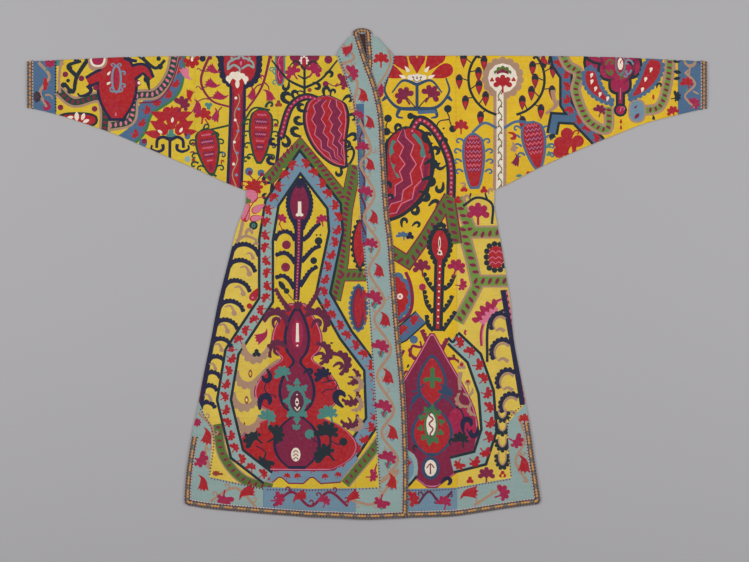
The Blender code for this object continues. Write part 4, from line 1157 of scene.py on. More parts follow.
# Maroon crown and scrolls over the medallion
leafy(RIGHT, "maroon", [(421, 330), (425, 338), (429, 347)], 3.0, 5.0, 2.4, 3.4, -1.0)
leafy(RIGHT, "maroon", [(448, 339), (444, 346), (440, 354)], 2.4, 5.0, 2.4, 3.4, 1.0)
stem(RIGHT, "maroon", [(433.8, 334), (433.6, 346)], 1.0, 8.0)
for x, y, reach, turn in ((416, 352, 8.4, -30), (408, 378, 8, -20), (452, 364, 8, 60), (454, 385, 7, 60)):
    comb(RIGHT, "maroon", x, y, reach, turn + 180, 230, 0.42, 5)
for path in (
    [(414, 346), (421, 347), (420, 341)], [(404, 350), (400, 360), (403, 372)],
    [(413, 378), (409, 388), (404, 392)], [(449, 378), (452, 390), (457, 392)],
):
    stem(RIGHT, "maroon", path, 3.0, 1.6)
blooms(RIGHT, [("ink", ALMOND, 408, 366, 2.2, 30), ("ink", CURL, 451.6, 355, 3.2, 60)])
# Red medallion:   an outer leaf, a blue-edged bulb and a small diamond at the foot
LEAF_B = vase(432, 333, 488, 45, head=0.25, waist=0.05)
form(RIGHT, ("maroon", "pink", "maroon"), [(x, y, half + 1.6) for x, y, half in LEAF_B], 1.2)
stacked(RIGHT, ("rose",), ((462, 424, 14, 17),))
BULB_B = vase(432, 355, 456, 21, swells=2, head=0.5, waist=0.2)
form(RIGHT, ("storm", "crimson"), BULB_B, 3.2)
bloom(RIGHT, "storm", DISC, 430.6, 468, 9.2, 0, 1.3)
bloom(RIGHT, "cream", DISC, 430.6, 468, 6, 0, 1.4)
stem(RIGHT, "maroon", [(430.4, 463), (430.4, 474)], 1.0, 1.6)
stem(RIGHT, "maroon", [(426.6, 468), (430.4, 463.6), (434.2, 468)], 1.1)
stem(RIGHT, "leaf", [(432.6, 369), (432.4, 387)], 4.6)
stem(RIGHT, "leaf", [(425.4, 379), (439.4, 379)], 3.4)
blooms(RIGHT, [("leaf", SMALL_DISC, x, y, 2.4) for x, y in (
    (425.6, 380), (439.4, 380), (432.6, 369.6), (432.4, 386),
)])
for turn in range(0, 360, 36):
    way = math.radians(turn + 8)
    bloom(RIGHT, "leaf", CLOVER, 431 + 10.6 * math.sin(way), 425 - 17.4 * math.cos(way), 3.4, turn + 8)
ringed(RIGHT, ("leaf", "cream"), 431, 424.6, 7.0, 2.2, 2.4)
stem(RIGHT, "maroon", [
    (431, 412), (429, 415), (433, 419), (429, 424), (433, 429), (430, 434), (432, 437),
], 1.5)
stem(RIGHT, "storm", [(413, 402), (415.6, 397), (421, 393)], 5.4, 2)
blooms(RIGHT, [
    ("storm", CREST, 446.6, 394, 7.4, 20), ("navy", FROND, 465, 424, 8.6, 10),
    ("navy", FROND, 475.6, 432, 6.4, 200), ("ink", CREST, 461.4, 440, 8.4, 0),
    ("ink", FROND, 450.6, 441.6, 3.6, 0), ("ink", FROND, 414.4, 448.4, 3.6, -20),
    ("navy", FROND, 446, 480.4, 6.4, 60),
])
for path in ([(456, 407), (461, 410), (464, 418)], [(467, 429), (471, 437), (477, 437)]):
    stem(RIGHT, "navy", path, 1.6)
for path in (
    [(421, 396), (414, 400), (410, 410)], [(440, 396), (449, 400), (455, 408)],
    [(424, 384), (418, 390), (412, 392)], [(440, 384), (446, 387)],
):
    stem(RIGHT, "storm", path, 2.0)

# ---- Embroidery: right gore ----
# Flowers under the arm, a pink leaf, a blue flower band that bends round the medallion, and
# a dark stripe at the side with scalloped arches and tan commas.
stem(RIGHT, "ink", [(463, 206), (477, 197.6), (492, 204), (492, 224)], 2.6)
spray(RIGHT, "ink", 478, 198, [[(9, 1), (7, -5)]], 2.4, 1.6)
blooms(RIGHT, [("rose", CARNATION, 478, 214, 11.6, 0), ("crimson", CLOVER, 458, 200, 4.2)])
BUD = (496, 257, 7.4, 11)
scalloped(RIGHT, "ink", cushion(*BUD, 2.2), 3.0, 5.4)
stacked(RIGHT, ("crimson",), (BUD,))
for y in (253, 259, 264):
    stem(RIGHT, "pink", [(489.6, y), (492.6, y - 2.4), (495.6, y), (498.6, y - 2.4), (502, y)], 0.8)
stem(RIGHT, "ink", [(497, 244), (501, 243), (502, 250)], 1.6)
stem(RIGHT, "rose", [(481.4, 346), (481, 332), (486, 316), (494, 303), (503, 298.6)], 2.4, 2.0)
stem(RIGHT, "pink", [(482.6, 344), (482.6, 332), (487.4, 317), (495, 304.6), (502, 300)], 1.2)
for silk, reach in (("rose", 30), ("pink", 22)):
    comb(RIGHT, silk, 500, 328, reach, 228, 74, 0.34, 5)
stem(RIGHT, "rose", [(466, 330), (464.6, 333), (466, 335)], 2.6, 1.6)
# Blue flower band between dark edges
BLUE_BAND = [(453, 338), (474, 358), (486, 392), (489, 430), (480, 458), (452, 465)]
belt(RIGHT, ("ink", "aqua"), BLUE_BAND, 18, 2.8)
stem(RIGHT, "ink", [(448, 337.6), (453, 342), (457.6, 334)], 2.6)
stem(RIGHT, "ink", [(487, 362), (489, 322), (507, 308)], 2.8)
flowered(RIGHT, BLUE_BAND, 14.6, "crimson", 6.0, POSY)
# Tan flowers inside the band
for x, y, reach, turn in ((463, 400, 8.6, 150), (474, 409, 7.6, 160), (468, 391, 6, 60)):
    comb(RIGHT, "tan", x, y, reach, turn, 200, 0.46, 5)
blooms(RIGHT, [
    ("tan", CLOVER, 461.6, 366, 4.6), ("crimson", SMALL_DISC, 461.6, 364.6, 2),
    ("tan", DISC, 467.8, 382.6, 3.0), ("crimson", SMALL_DISC, 467.8, 381.4, 1.8),
])
stem(RIGHT, "tan", [(460.6, 372), (459.6, 380), (460, 390)], 4.6, 3.0)
stem(RIGHT, "tan", [(467.8, 385), (469, 392)], 1.4)
# Side stripe
STRIPE_B = [(504, 290), (515.4, 355), (523.6, 405)]
stem(RIGHT, "maroon", [(x + 1.8, y) for x, y in STRIPE_B], 3.0)
run_of(RIGHT, "pink", ALMOND, [(x + 2.6, y) for x, y in STRIPE_B], 6.0, 2.0, 90, 1.0)
stem(RIGHT, "navy", [(x - 1.2, y) for x, y in STRIPE_B], 5.2)
# Scalloped arches on the stripe:   x, y, reach
for x, y, reach in ((506, 317, 13), (510, 344, 16), (514.6, 374, 15), (518, 398, 15)):
    arch = [
        (x, y), (x - reach * 0.4, y - reach * 0.22), (x - reach * 0.85, y - 0.05 * reach),
        (x - reach * 1.1, y + reach * 0.45), (x - reach * 0.95, y + reach * 0.95),
    ]
    leafy(RIGHT, "navy", arch, 3.0, 2.0, 3.0, 4.0, 1.0)
    stem(RIGHT, "tan", [(
        px * 0.84 + (x - reach * 0.3) * 0.16, py * 0.84 + (y + reach * 0.7) * 0.16 + 0.6,
    ) for px, py in arch], 3.0, 1.4)
    stem(RIGHT, "tan", [
        (x - reach * 0.75, y + reach * 1.05), (x - reach * 0.45, y + reach * 0.9),
        (x - reach * 0.1, y + reach * 1.1),
    ], 2.2, 4.0)
# Lobes stacked between the band and the border
for y, drop in ((410, 10), (422, 11), (438, 11), (453, 14)):
    lobe = [(497.4, y + 1), (498.4, y + drop * 0.7), (502.4, y + drop), (506.4, y + drop * 0.7), (507, y + 1)]
    leafy(RIGHT, "ink", lobe, 3.0, 3.0, 2.6, 4.0, 1.0)
    stem(RIGHT, "tan", [(px * 0.8 + 502.2 * 0.2, py - 2.2) for px, py in lobe], 1.4)
blooms(RIGHT, [
    ("maroon", CARNATION, 486.4, 475.4, 8.6, 0), ("crimson", CLOVER, 470, 480.4, 4.0),
    ("crimson", CLOVER, 502.6, 474.6, 4.0), ("yellow", SMALL_DISC, 502.6, 475.4, 1.4),
])

# ---- Embroidery: right borders ----
# The same pale border runs up the slit, along the hem and beside the neck on this half, with a
# tan vine, tulips and posies. A bluer lot of silk fills the hem between the seams.
sew(RIGHT, "aqua", [(532, 396), (507, 424), (511, 478), (457, 487.4), (457, 530), (560, 530), (560, 396)])
sew(RIGHT, "sky", [(406, 489), (457, 487.6), (457, 530), (406, 530)])
sew(RIGHT, "aqua", [(380, 489), (406.6, 489), (406.6, 530), (380, 530)])
stacked(RIGHT, ("aqua", "sky"), ((392, 468, 26, 20),), 4.0)
stem(RIGHT, "ink", [(417, 476), (408, 486), (400, 489)], 2.6)
sew(RIGHT, "aqua", flowing([(370, 30), (390, 44), (393, 64), (376, 92)], True))
for silk, path, width in (
    ("tan", [(386, 42), (390, 64), (374, 92)], 2.2),
    ("tan", winding([(525, 406), (520, 446), (524, 494)], 5, 40), 2.6),
    ("tan", winding([(522, 492), (457, 499)], 8, 44), 2.6),
    ("plum", winding([(412, 498), (458, 497)], 6, 22), 2.4),
):
    stem(RIGHT, silk, path, width)
    for x, y, way in spaced(flowing(path), 13.0):
        if x > 400:
            curls(RIGHT, silk, [(x, y, 5, way + 60, 1 if int(x) % 2 else -1, 1.8)])
blooms(RIGHT, [
    ("crimson", CARNATION, 381, 60, 8, 0), ("rose", DROP, 380.6, 90, 7.6, 10),
    ("crimson", CARNATION, 524.6, 419.6, 6.2, 0), ("rose", POSY, 515.6, 441, 7.8, 120),
    ("crimson", TULIP, 523.4, 464, 9.6, 0), ("crimson", TULIP, 469, 493.6, 9.8, 264),
    ("rose", POSY, 501.6, 493.6, 8.4, 70), ("crimson", CARNATION, 411.6, 499, 8, 80),
    ("rose", POSY, 444.6, 503, 7.4, 10), ("crimson", TULIP, 407, 465, 6.4, 200),
])
for path in (
    [(524, 403.4), (508, 424), (511, 477)], [(511, 479), (457, 488.4)],
    [(408, 490.6), (430, 490.4), (456, 489)], [(393, 50), (393, 66), (384, 84)],
    [(408, 512.6), (450, 512), (500, 508.6), (529, 503)],
):
    run_of(RIGHT, "plum", DOT, path, 3.0, 0.9)

# ---- Embroidery: right sleeve ----
# A pale column with a round head hangs inside a vine of rosebuds, between two almonds; then
# come the blue flower band, the green band and a many-armed medallion with a pod each side.
COLUMN = [(500, 84), (500, 140), (499.6, 190)]
stem(RIGHT, "tan", COLUMN, 13.4)
for step in range(0, 360, 24):
    way = math.radians(step)
    bloom(RIGHT, "tan", SMALL_DISC, 502.7 + 17 * math.sin(way), 78 - 17 * math.cos(way), 4.4)
ringed(RIGHT, ("tan", "cream"), 502.7, 78, 17.6, 2.8, 1.0)
stem(RIGHT, "cream", COLUMN, 7.0)
stem(RIGHT, "olive", [(500 + 1.9 * (-1) ** k, 90 + 6.6 * k) for k in range(16)], 1.1)
for k in range(15):
    bloom(RIGHT, "crimson", SMALL_DISC, 500 + 1.6 * (-1) ** k, 93.5 + 6.6 * k, 0.9)
comb(RIGHT, "olive", 502.7, 75, 9.4, -90, 170, 0.36, 5)
comb(RIGHT, "maroon", 502.7, 76, 7.2, -90, 150, 0.45, 3)
blooms(RIGHT, [
    ("crimson", CARNATION, 502.7, 84, 9.4, 0), ("crimson", CLOVER, 492, 80, 2.4),
    ("crimson", CLOVER, 513.6, 79.6, 2.4),
])
VINE_B = [(
    506.5 + 38 * math.cos(math.radians(turn)), 79 + 37 * math.sin(math.radians(turn)),
) for turn in range(-45, 226, 15)]
stem(RIGHT, "ink", VINE_B[:9], 2.6)
stem(RIGHT, "ink", VINE_B[10:], 2.6)
# Rosebuds stand on the vine, inside and outside in turn
for count, (x, y, way) in enumerate(spaced(flowing(VINE_B), 8.6)):
    out = math.radians(way - 90 * (-1) ** count)
    bud_x, bud_y = x + 9.4 * math.cos(out), y + 9.4 * math.sin(out)
    if abs(bud_x - 502) > 10:
        stem(RIGHT, "ink", [(x, y), (bud_x, bud_y - 3.6)], 1.2)
        for silk, outline, step, size in (("maroon", DROP, 1, 7.8), ("crimson", DROP, 1, 5)):
            bloom(RIGHT, silk, outline, bud_x, bud_y + step, size, 180)
        bloom(RIGHT, "ink", CLOVER, bud_x, bud_y - 3.2, 3.8)
# Two almonds on blue stems
for rows, path, stalk in (
    (paisley(473, 133, 56, 8.4, 1.6, 0, 2), [(497, 128), (484, 123), (472, 133)], (473.4, 130)),
    (paisley(531, 121, 49, 10, 7.6), [(504, 128), (518, 121.4), (541, 126)], (531, 120)),
):
    stem(RIGHT, "steel", path, 2.8)
    form(RIGHT, ("steel", "crimson"), [(x, y, h + 2.6) for x, y, h in rows], 2.6)
    bars(RIGHT, "maroon", rows[:9], 9.0, 0.5, 2.4)
    bars(RIGHT, "pink", rows[:9], 4.5, 0.22, 2.4)
    for hand in (-1, 1):
        for x, y, h in rows[1:9:2]:
            curls(RIGHT, "steel", [(x + hand * (h + 3.6), y + 3, 5.4, 40 * hand, hand, 2.2)])
blooms(RIGHT, [
    ("crimson", CARNATION, 461, 127, 7.6, 0), ("crimson", FROND, 512.6, 135, 5, 120),
    ("maroon", TULIP, 516, 160, 6.4, 20), ("tan", TULIP, 513.4, 147, 5.4, 10),
    ("crimson", CLOVER, 484, 190, 4), ("crimson", CLOVER, 464, 189, 4), ("teal", ALMOND, 519, 175.6, 3.2, 80),
    ("crimson", CLOVER, 530, 174, 4, 60), ("tan", FROND, 463, 184, 3.4, 90), ("tan", FROND, 466, 198, 4, 0),
    ("crimson", FROND, 522, 186, 4, 60), ("tan", FROND, 489.6, 191, 3.6, 10),
])
stem(RIGHT, "tan", [(552.6, 90), (553.6, 98), (555.4, 105), (551, 110), (546, 113.6)], 4.4, 3.0)
bloom(RIGHT, "tan", DROP, 556, 105, 5.4, 200)
# Blue flower band and its hook
BLUE_BAND_B = [(554, 46), (558, 64), (566, 76), (566, 104), (574, 116), (600, 143)]
for silk, rim in (("ink", 0), ("steel", 2.6)):
    belt(RIGHT, (silk,), BLUE_BAND_B, 14 - 2 * rim)
    belt(RIGHT, (silk,), [(574, 119), (555, 118), (552, 134)], 12 - 2 * rim)
flowered(RIGHT, BLUE_BAND_B, 11.4, "crimson", 4.9, POSY)
stem(RIGHT, "ink", [(552.6, 134), (553.6, 138)], 4, 5)
# Red flower under the blue band
for x, y, r in ((567, 134, 6.4), (560, 143, 6.4), (578, 141, 6), (568, 146, 9), (559, 152, 6), (571, 154, 7)):
    bloom(RIGHT, "crimson", DISC, x, y, r)
curls(RIGHT, "crimson", [(573, 134, 5, 20, 1, 1.6)])
blooms(RIGHT, [
    ("yellow", DROP, 570.6, 150, 4, 10), ("teal", CLOVER, 548.6, 146, 3), ("teal", CLOVER, 549, 154, 3),
    ("ink", FROND, 551, 137, 3.4),
])
# Green band between tan edges
for path in ([(560, 48), (568, 65), (579, 73), (576, 92), (588, 120), (607, 129), (609, 107)],
             [(670.6, 48), (668, 80), (660, 106), (642, 111)]):
    band(RIGHT, path, 11.0, "moss", "tan", 2.6, "maroon", 5.6, (1.0, 2.7))
stacked(RIGHT, ("tan", "sky"), ((637, 111, 9, 12),), 1.8)
blooms(RIGHT, [("maroon", ALMOND, 637, 116, 3.6, 40), ("maroon", ALMOND, 635.6, 107, 2, 40)])
# Medallion
MEDALLION_B = ((613, 50, 30, 16), (616, 70, 19, 12), (620, 84, 12, 11))
for silk, rim in (("ink", 0), ("rose", 2.9)):
    stacked(RIGHT, (silk,), MEDALLION_B, 0, -rim)
    stem(RIGHT, silk, [(620.4, 88), (620.4, 110)], 9.4 - 2 * rim)
bloom(RIGHT, "ink", DISC, 620.4, 110, 6.8)
bloom(RIGHT, "rose", DISC, 620.4, 110, 4.4)
stem(RIGHT, "maroon", [(588, 55), (600, 57), (606, 72), (614, 80)], 4, 2)
stem(RIGHT, "maroon", [(638, 55), (634, 66), (629, 76), (624, 84)], 4, 2)
stem(RIGHT, "pink", [(620.6, 88), (620.2, 100)], 0.7)
curls(RIGHT, "pink", [(620.4, 111, 4.4, 0, 1, 0.9)])
ringed(RIGHT, ("teal", "rose", "cream"), 620.4, 64, 5.4, 1.3, 2.2)
curls(RIGHT, "maroon", [(620.4, 63, 4, 10, 1, 0.9), (620.4, 70, 4, 190, 1, 0.9)])
curls(RIGHT, "olive", [
    (606, 64, 6.4, 20, 1, 1.8), (606, 70, 5.4, 160, -1, 1.8), (613, 72, 4, 200, 1, 1.6),
    (620.6, 79, 3.6, 0, 1, 1.6),
])
curls(RIGHT, "sky", [(633, 64, 6.4, -20, -1, 1.8), (631, 70, 5, 190, 1, 1.8), (627, 73, 3.6, 160, 1, 1.6)])
# Pods with pale seeds
for rows, seeds in (
    (paisley(590, 69, 33, 6, 2, 19),
     ((591.6, 75.6), (591.8, 82), (595.6, 89), (600, 94.6), (607.6, 99))),
    (paisley(656, 58, 39, 7.6, -10, -15), ((651, 70), (645.6, 79.6), (642.4, 90))),
):
    scalloped(RIGHT, "steel", swelling(rows, 1.6), 2.8, 5.0)
    form(RIGHT, ("steel", "crimson"), [(x, y, h + 2.2) for x, y, h in rows], 2.4)
    for x, y in seeds:
        blooms(RIGHT, [("cream", DROP, x, y, 2.8, 200), ("cream", SMALL_DISC, x, y - 1, 1.5)])
blooms(RIGHT, [
    ("ink", FROND, 658.4, 85, 3.6, 30), ("crimson", ALMOND, 653.4, 97, 2.4, 0, 1.2),
    ("maroon", POSY, 600, 111, 6.4, 20), ("crimson", DROP, 621, 121, 2.6), ("crimson", DROP, 621, 127, 2.6),
    ("ink", ALMOND, 677, 61, 4, 80), ("ink", ALMOND, 677.4, 72, 4, 100), ("ink", ALMOND, 677, 78.4, 3.6, 80),
    ("ink", CREST, 675.6, 97, 5.4, 80), ("crimson", CARNATION, 673, 112, 6.4, -20),
    ("ink", TULIP, 653.4, 117.4, 2.8), ("crimson", CLOVER, 546, 62, 2.6),
])
# Cuff band
ringed(RIGHT, ("tan", "steel"), 690, 60, 6.6, 2.2, 1.0)
for path, width in (
    (winding([(690, 66), (690, 114)], 5, 22), 2.6), ([(690, 66), (689, 76)], 2.0),
    ([(693, 91), (698.6, 94)], 1.8), ([(686, 98), (690, 104)], 1.6), ([(686, 73), (688, 70)], 1.8),
):
    stem(RIGHT, "tan", path, width, 1.6)
blooms(RIGHT, [
    ("crimson", POSY, 687.4, 83.6, 6.6, 0), ("rose", POSY, 694, 104, 6.2, 50),
    ("teal", SMALL_DISC, 687, 90, 1.6),
])

# ---- Body panels ----
# Each half of the body is one length of cotton, stitched all over in silk, lightly wadded and lined.
# It runs from the front hem over the shoulder to the back hem, and the halves meet down the back.
WALL = 2.2
LAYER_GAP = 0.8
FRONT_Z = WALL + LAYER_GAP
LAP_RISE = WALL + 0.8
LAP_FAR, LAP_NEAR = 85.0, 43.0
LAP_TOP_Y, LAP_TOP_EASE = 600.0, 48.0
SHOULDER_Y = 554.0
FOLD_RADIUS = (LAYER_GAP + WALL) / 2
FOLD_AXIS_Z = FRONT_Z - LAYER_GAP / 2
FOLD_AXIS_Y = SHOULDER_Y - FOLD_RADIUS - WALL / 2
FOLD_ARC = math.pi * FOLD_RADIUS
MIRROR_Y = FOLD_AXIS_Y + FOLD_ARC / 2     # the shoulder line of the cloth, unfolded
SEAM_X = 226.0
BRAID_WIDTH = 16.0
BAND_FOOT_Y = 377.0
NECK_DIP = 13.0
BACK_INSET = 3.0
HALF_SEAM = 0.15
ARMPIT_Y, ARMHOLE_Y = 187, 190    # foot of the armhole, and where its edge starts up
HEM_NEAR = {"side": -590.0, "seam": -600.0, "front": -620.0}    # about where each line meets the hem
SHOULDER_EASE = 60.0             # over which the folds fade out below the shoulder
LAP_EASE = 40.0                  # over which they fade out beside the lap
RIPPLE_EASE, RIPPLE_LIFT = 40.0, 0.45

# Hem line, left corner to right corner:   x, y
HEM_ROWS = (
    (-470, -586), (-411, -596), (-345, -603), (-264, -610), (-168, -617), (-69, -621), (0, -624),
    (79, -621), (157, -619), (236, -615), (287, -607), (338, -599), (399, HEM_NEAR["side"]), (450, -584),
)
# Front edges, neck to hem:   y, left x, right x
FRONT_EDGE_ROWS = (
    (609, -20, -5), (580, -11, -3), (558, -4, -1), (540, 2, 0), (515, 11, -3), (491, 20, -10),
    (461, 29, -22), (415, 39, -36), (314, 46, -46), (222, 51, -51), (154, 56, -56), (85, 65, -65),
    (4, 71, -71), (-67, 76, -76), (-182, 86, -86), (-296, 97, -97), (-423, 103, -103),
    (-525, 105, -105), (-630, 103, -103),
)
# Outer edge of the neckband, top to foot:   y, left x, right x
NECKBAND_ROWS = (
    (618, -29, 9), (606, -40, 21), (593, -51, 32), (580, -61, 44), (567, -71, 57), (555, -77, 67),
    (540, -71, 66), (513, -59, 58), (485, -47, 46), (464, -41, 38), (440, -33, 28), (410, -17, 15),
    (377, -5, 5),
)
# Seam between body and wedge on the left:   y, x
WEDGE_SEAM_ROWS = ((377, -5), (80, -17), (-225, -27), (-640, -30))
# Seam between body and gore:   y, left x, right x
GORE_SEAM_ROWS = ((187, -226, 226), (60, -230, 227), (-144, -243, 229), (-640, -266, 229))
# Soft folds in the upper layer:   x, y at one end, x, y at the other, half width, height
FOLD_ROWS = (
    (-300, 240, -150, 500, 58, 3.2),
    (-560, 380, -330, 500, 52, 2.4),
    (-345, 30, -250, 150, 46, 2.2),
    (-190, -520, -130, -40, 60, 3.0),
    (-330, -520, -300, -120, 55, 2.6),
    (-100, 120, -60, 420, 50, 2.4),
    (300, 240, 160, 500, 58, 3.2),
    (560, 385, 330, 505, 52, 2.4),
    (330, 20, 260, 150, 46, 2.2),
    (165, -520, 150, -60, 48, 3.0),
    (325, -520, 285, -100, 55, 2.8),
)
# Slack ripples of the stitched cloth:   x waves per metre, y waves per metre, phase, height
RIPPLE_ROWS = (
    (9.0, 2.5, 0.4, 0.30),
    (-5.0, 7.0, 1.9, 0.26),
    (14.0, -11.0, 3.1, 0.16),
    (3.0, 19.0, 0.8, 0.14),
    (23.0, 8.0, 5.0, 0.10),
)


def curve(rows, column=1):
    """A smooth line through one column of a table, as a function of the table's first column."""
    rows = sorted(rows)
    at = np.array([row[0] for row in rows], float)
    value = np.array([row[column] for row in rows], float)
    slope = np.gradient(value, at)

    def read(place):
        place = np.clip(np.asarray(place, float), at[0], at[-1])
        i = np.clip(np.searchsorted(at, place) - 1, 0, len(at) - 2)
        span = at[i + 1] - at[i]
        t = (place - at[i]) / span
        start = (2 * t**3 - 3 * t**2 + 1) * value[i] + (t**3 - 2 * t**2 + t) * span * slope[i]
        end = (3 * t**2 - 2 * t**3) * value[i + 1] + (t**3 - t**2) * span * slope[i + 1]
        return start + end

    return read


def beside(line, distance):
    """The line moved sideways by a distance measured square to it."""

    def read(place):
        slope = (line(place + 5) - line(place - 5)) / 10
        return line(place) + distance * np.sqrt(1 + slope**2)

    return read


hem_line = curve(HEM_ROWS)
front_edge = {-1: curve(FRONT_EDGE_ROWS, 1), 1: curve(FRONT_EDGE_ROWS, 2)}
band_edge = {-1: curve(NECKBAND_ROWS, 1), 1: curve(NECKBAND_ROWS, 2)}
wedge_seam = curve(WEDGE_SEAM_ROWS)
gore_seam = {-1: curve(GORE_SEAM_ROWS, 1), 1: curve(GORE_SEAM_ROWS, 2)}
bound_hem = beside(hem_line, BRAID_WIDTH)


def smooth_step(value):
    """From 0 to 1 with no corner at either end."""
    value = np.clip(value, 0.0, 1.0)
    return value * value * (3.0 - 2.0 * value)


def soft_folds(x, y):
    """Height that the soft folds add to the upper layer, fading out at the shoulder fold."""
    folds = np.zeros(np.broadcast(x, y).shape)
    for x0, y0, x1, y1, half_width, height in FOLD_ROWS:
        length_squared = (x1 - x0) ** 2 + (y1 - y0) ** 2
        along = np.clip(((x - x0) * (x1 - x0) + (y - y0) * (y1 - y0)) / length_squared, 0, 1)
        off = np.hypot(x - x0 - along * (x1 - x0), y - y0 - along * (y1 - y0)) / half_width
        folds = folds + height * (1 - smooth_step(off)) * np.sin(math.pi * np.clip(along, 0.12, 0.88))
    return folds * smooth_step((SHOULDER_Y - y) / SHOULDER_EASE)


def ripples(x, y):
    """Height of the slack ripples, fading out at the shoulder fold."""
    total = np.full(np.broadcast(x, y).shape, RIPPLE_LIFT)
    for across, down, phase, height in RIPPLE_ROWS:
        total = total + height * np.sin(2 * math.pi * (across * x + down * y) * MM + phase)
    return np.maximum(total, 0) * smooth_step((SHOULDER_Y - y) / RIPPLE_EASE)


def right_under(x, y):
    """Underside of the right half's upper layer, flat where the left front covers it."""
    return FRONT_Z + ripples(x, y) + soft_folds(x, y) * smooth_step((x - front_edge[-1](y) - 15) / LAP_EASE)


def left_under(x, y):
    """Underside of the left half's upper layer, which climbs on to the right front's edge."""
    climb = smooth_step((x - front_edge[1](y) + LAP_FAR) / (LAP_FAR - LAP_NEAR))
    climb = climb * smooth_step((LAP_TOP_Y - y) / LAP_TOP_EASE)
    folds = soft_folds(x, y) * smooth_step((front_edge[-1](y) - x) / LAP_EASE)
    return FRONT_Z + ripples(x, y) + LAP_RISE * climb + folds


def on_ground(x, y):
    """Underside of the layer that lies on the ground."""
    return np.zeros(np.broadcast(x, y).shape)


upper_layer = {-1: left_under, 1: right_under}


def winds_round(points, outline):
    """Which points lie inside a closed outline, by how often it winds round them."""
    x, y = points.T
    winding = np.zeros(len(points), int)
    for (x0, y0), (x1, y1) in zip(outline, np.roll(outline, -1, axis=0)):
        left = (x1 - x0) * (y - y0) - (x - x0) * (y1 - y0)
        winding += (y0 <= y) & (y1 > y) & (left > 0)
        winding -= (y0 > y) & (y1 <= y) & (left < 0)
    return winding != 0


def cut_out(outline, drawn, spacing, hem_in=0.0, rows=()):
    """Triangles of an outline, cut along every drawn shape: points, triangles, and each one's shape."""
    loops = [outline]
    if hem_in:
        loops.append(outline + sideways(outline, closed=True) * hem_in)
    low, high = outline.min(axis=0), outline.max(axis=0)
    near = []
    for order, (_, shape) in enumerate(drawn):
        if (shape.max(axis=0) > low).all() and (shape.min(axis=0) < high).all():
            near.append((order, shape))
            loops.append(shape)
    points, edges = [], []
    for loop in loops:
        start, count = len(points), len(loop)
        points.extend(map(tuple, loop))
        edges.extend((start + i, start + (i + 1) % count) for i in range(count))
    for up in np.concatenate([np.arange(low[1] + spacing / 2, high[1], spacing), rows]):
        points.extend((across, up) for across in np.arange(low[0] + spacing / 2, high[0], spacing))
    cut = delaunay_2d_cdt([Vector(p) for p in points], edges, [], 0, 1e-3, False)
    flat = np.array([tuple(p) for p in cut[0]])
    triangles = np.array(cut[2])
    middles = flat[triangles].mean(axis=1)
    kept = winds_round(middles, outline)
    triangles, middles = triangles[kept], middles[kept]
    shape_of = np.full(len(triangles), -1)
    for order, shape in near:
        inside = (middles > shape.min(axis=0)).all(axis=1) & (middles < shape.max(axis=0)).all(axis=1)
        around = np.flatnonzero(inside)
        shape_of[around[winds_round(middles[around], shape)]] = order
    used, triangles = np.unique(triangles, return_inverse=True)
    return flat[used], triangles.reshape(-1, 3), shape_of


def rim_of(points, triangles):
    """The points round the edge of a cut piece, in order."""
    ends = np.concatenate([triangles[:, [0, 1]], triangles[:, [1, 2]], triangles[:, [2, 0]]])
    _, index, count = np.unique(np.sort(ends, axis=1), axis=0, return_inverse=True, return_counts=True)
    following = {int(a): int(b) for a, b in ends[count[index.reshape(-1)] == 1]}
    start = min(following, key=lambda i: tuple(points[i]))
    order = [start]
    while following[order[-1]] != start:
        order.append(following[order[-1]])
    return order


def run_shares(points, order):
    """How far round the edge each of its points lies, from 0 to 1."""
    run = run_along(points[order + order[:1]])
    return run / run[-1]


def edge_wall(face, face_rim, lining, lining_rim):
    """Triangles between the face's edge and the lining's, which has fewer points on the same line."""
    face_share, lining_share = run_shares(face, face_rim), run_shares(lining, lining_rim)
    a = face_rim + face_rim[:1]
    b = [i + len(face) for i in lining_rim + lining_rim[:1]]
    walls, i, j = [], 0, 0
    while i < len(face_rim) or j < len(lining_rim):
        if j == len(lining_rim) or (i < len(face_rim) and face_share[i + 1] <= lining_share[j + 1]):
            walls.append((a[i + 1], a[i], b[j]))
            i += 1
        else:
            walls.append((a[i], b[j], b[j + 1]))
            j += 1
    return walls


SEAM_DIP = 0.25      # share of the wall that a seam pulls its edge down
SEAM_PULL = 2.6      # how far from its edge a seam pulls the cloth down


def near_edge(points, outline):
    """How close points are to the outline: 1 on it, 0 from SEAM_PULL inwards."""
    nearest = np.full(len(points), 1e9)
    for start, end in zip(outline, np.roll(outline, -1, axis=0)):
        way = end - start
        along = np.clip((points - start) @ way / max(way @ way, 1e-9), 0, 1)
        nearest = np.minimum(nearest, np.hypot(*(points - start - along[:, None] * way).T))
    return 1 - smooth_step(nearest / SEAM_PULL)


def flat_place(under, face_down=False):
    """Where a point of a single layer lies: on its underside at 0, one wall above it at 1."""

    def place(flat, share):
        x, y = flat.T
        return np.column_stack([x, y, under(x, y) + (1 - share if face_down else share) * WALL])

    return place


def folded_place(under, axis=lambda x: np.full(np.shape(x), FOLD_AXIS_Y)):
    """Where a point of a folded cloth lies: the front, round the fold, then the back underneath."""

    def place(flat, share):
        x, up = flat.T
        past = up - FOLD_AXIS_Y
        reach = FOLD_RADIUS + (share - 0.5) * WALL
        turn = np.clip(past / FOLD_RADIUS, 0, math.pi)
        y = axis(x) + np.minimum(past, 0) + reach * np.sin(turn) - np.maximum(past - FOLD_ARC, 0)
        front = under(x, np.minimum(y, axis(x))) + share * WALL
        return np.column_stack([x, y, np.where(past <= 0, front, FOLD_AXIS_Z + reach * np.cos(turn))])

    return place


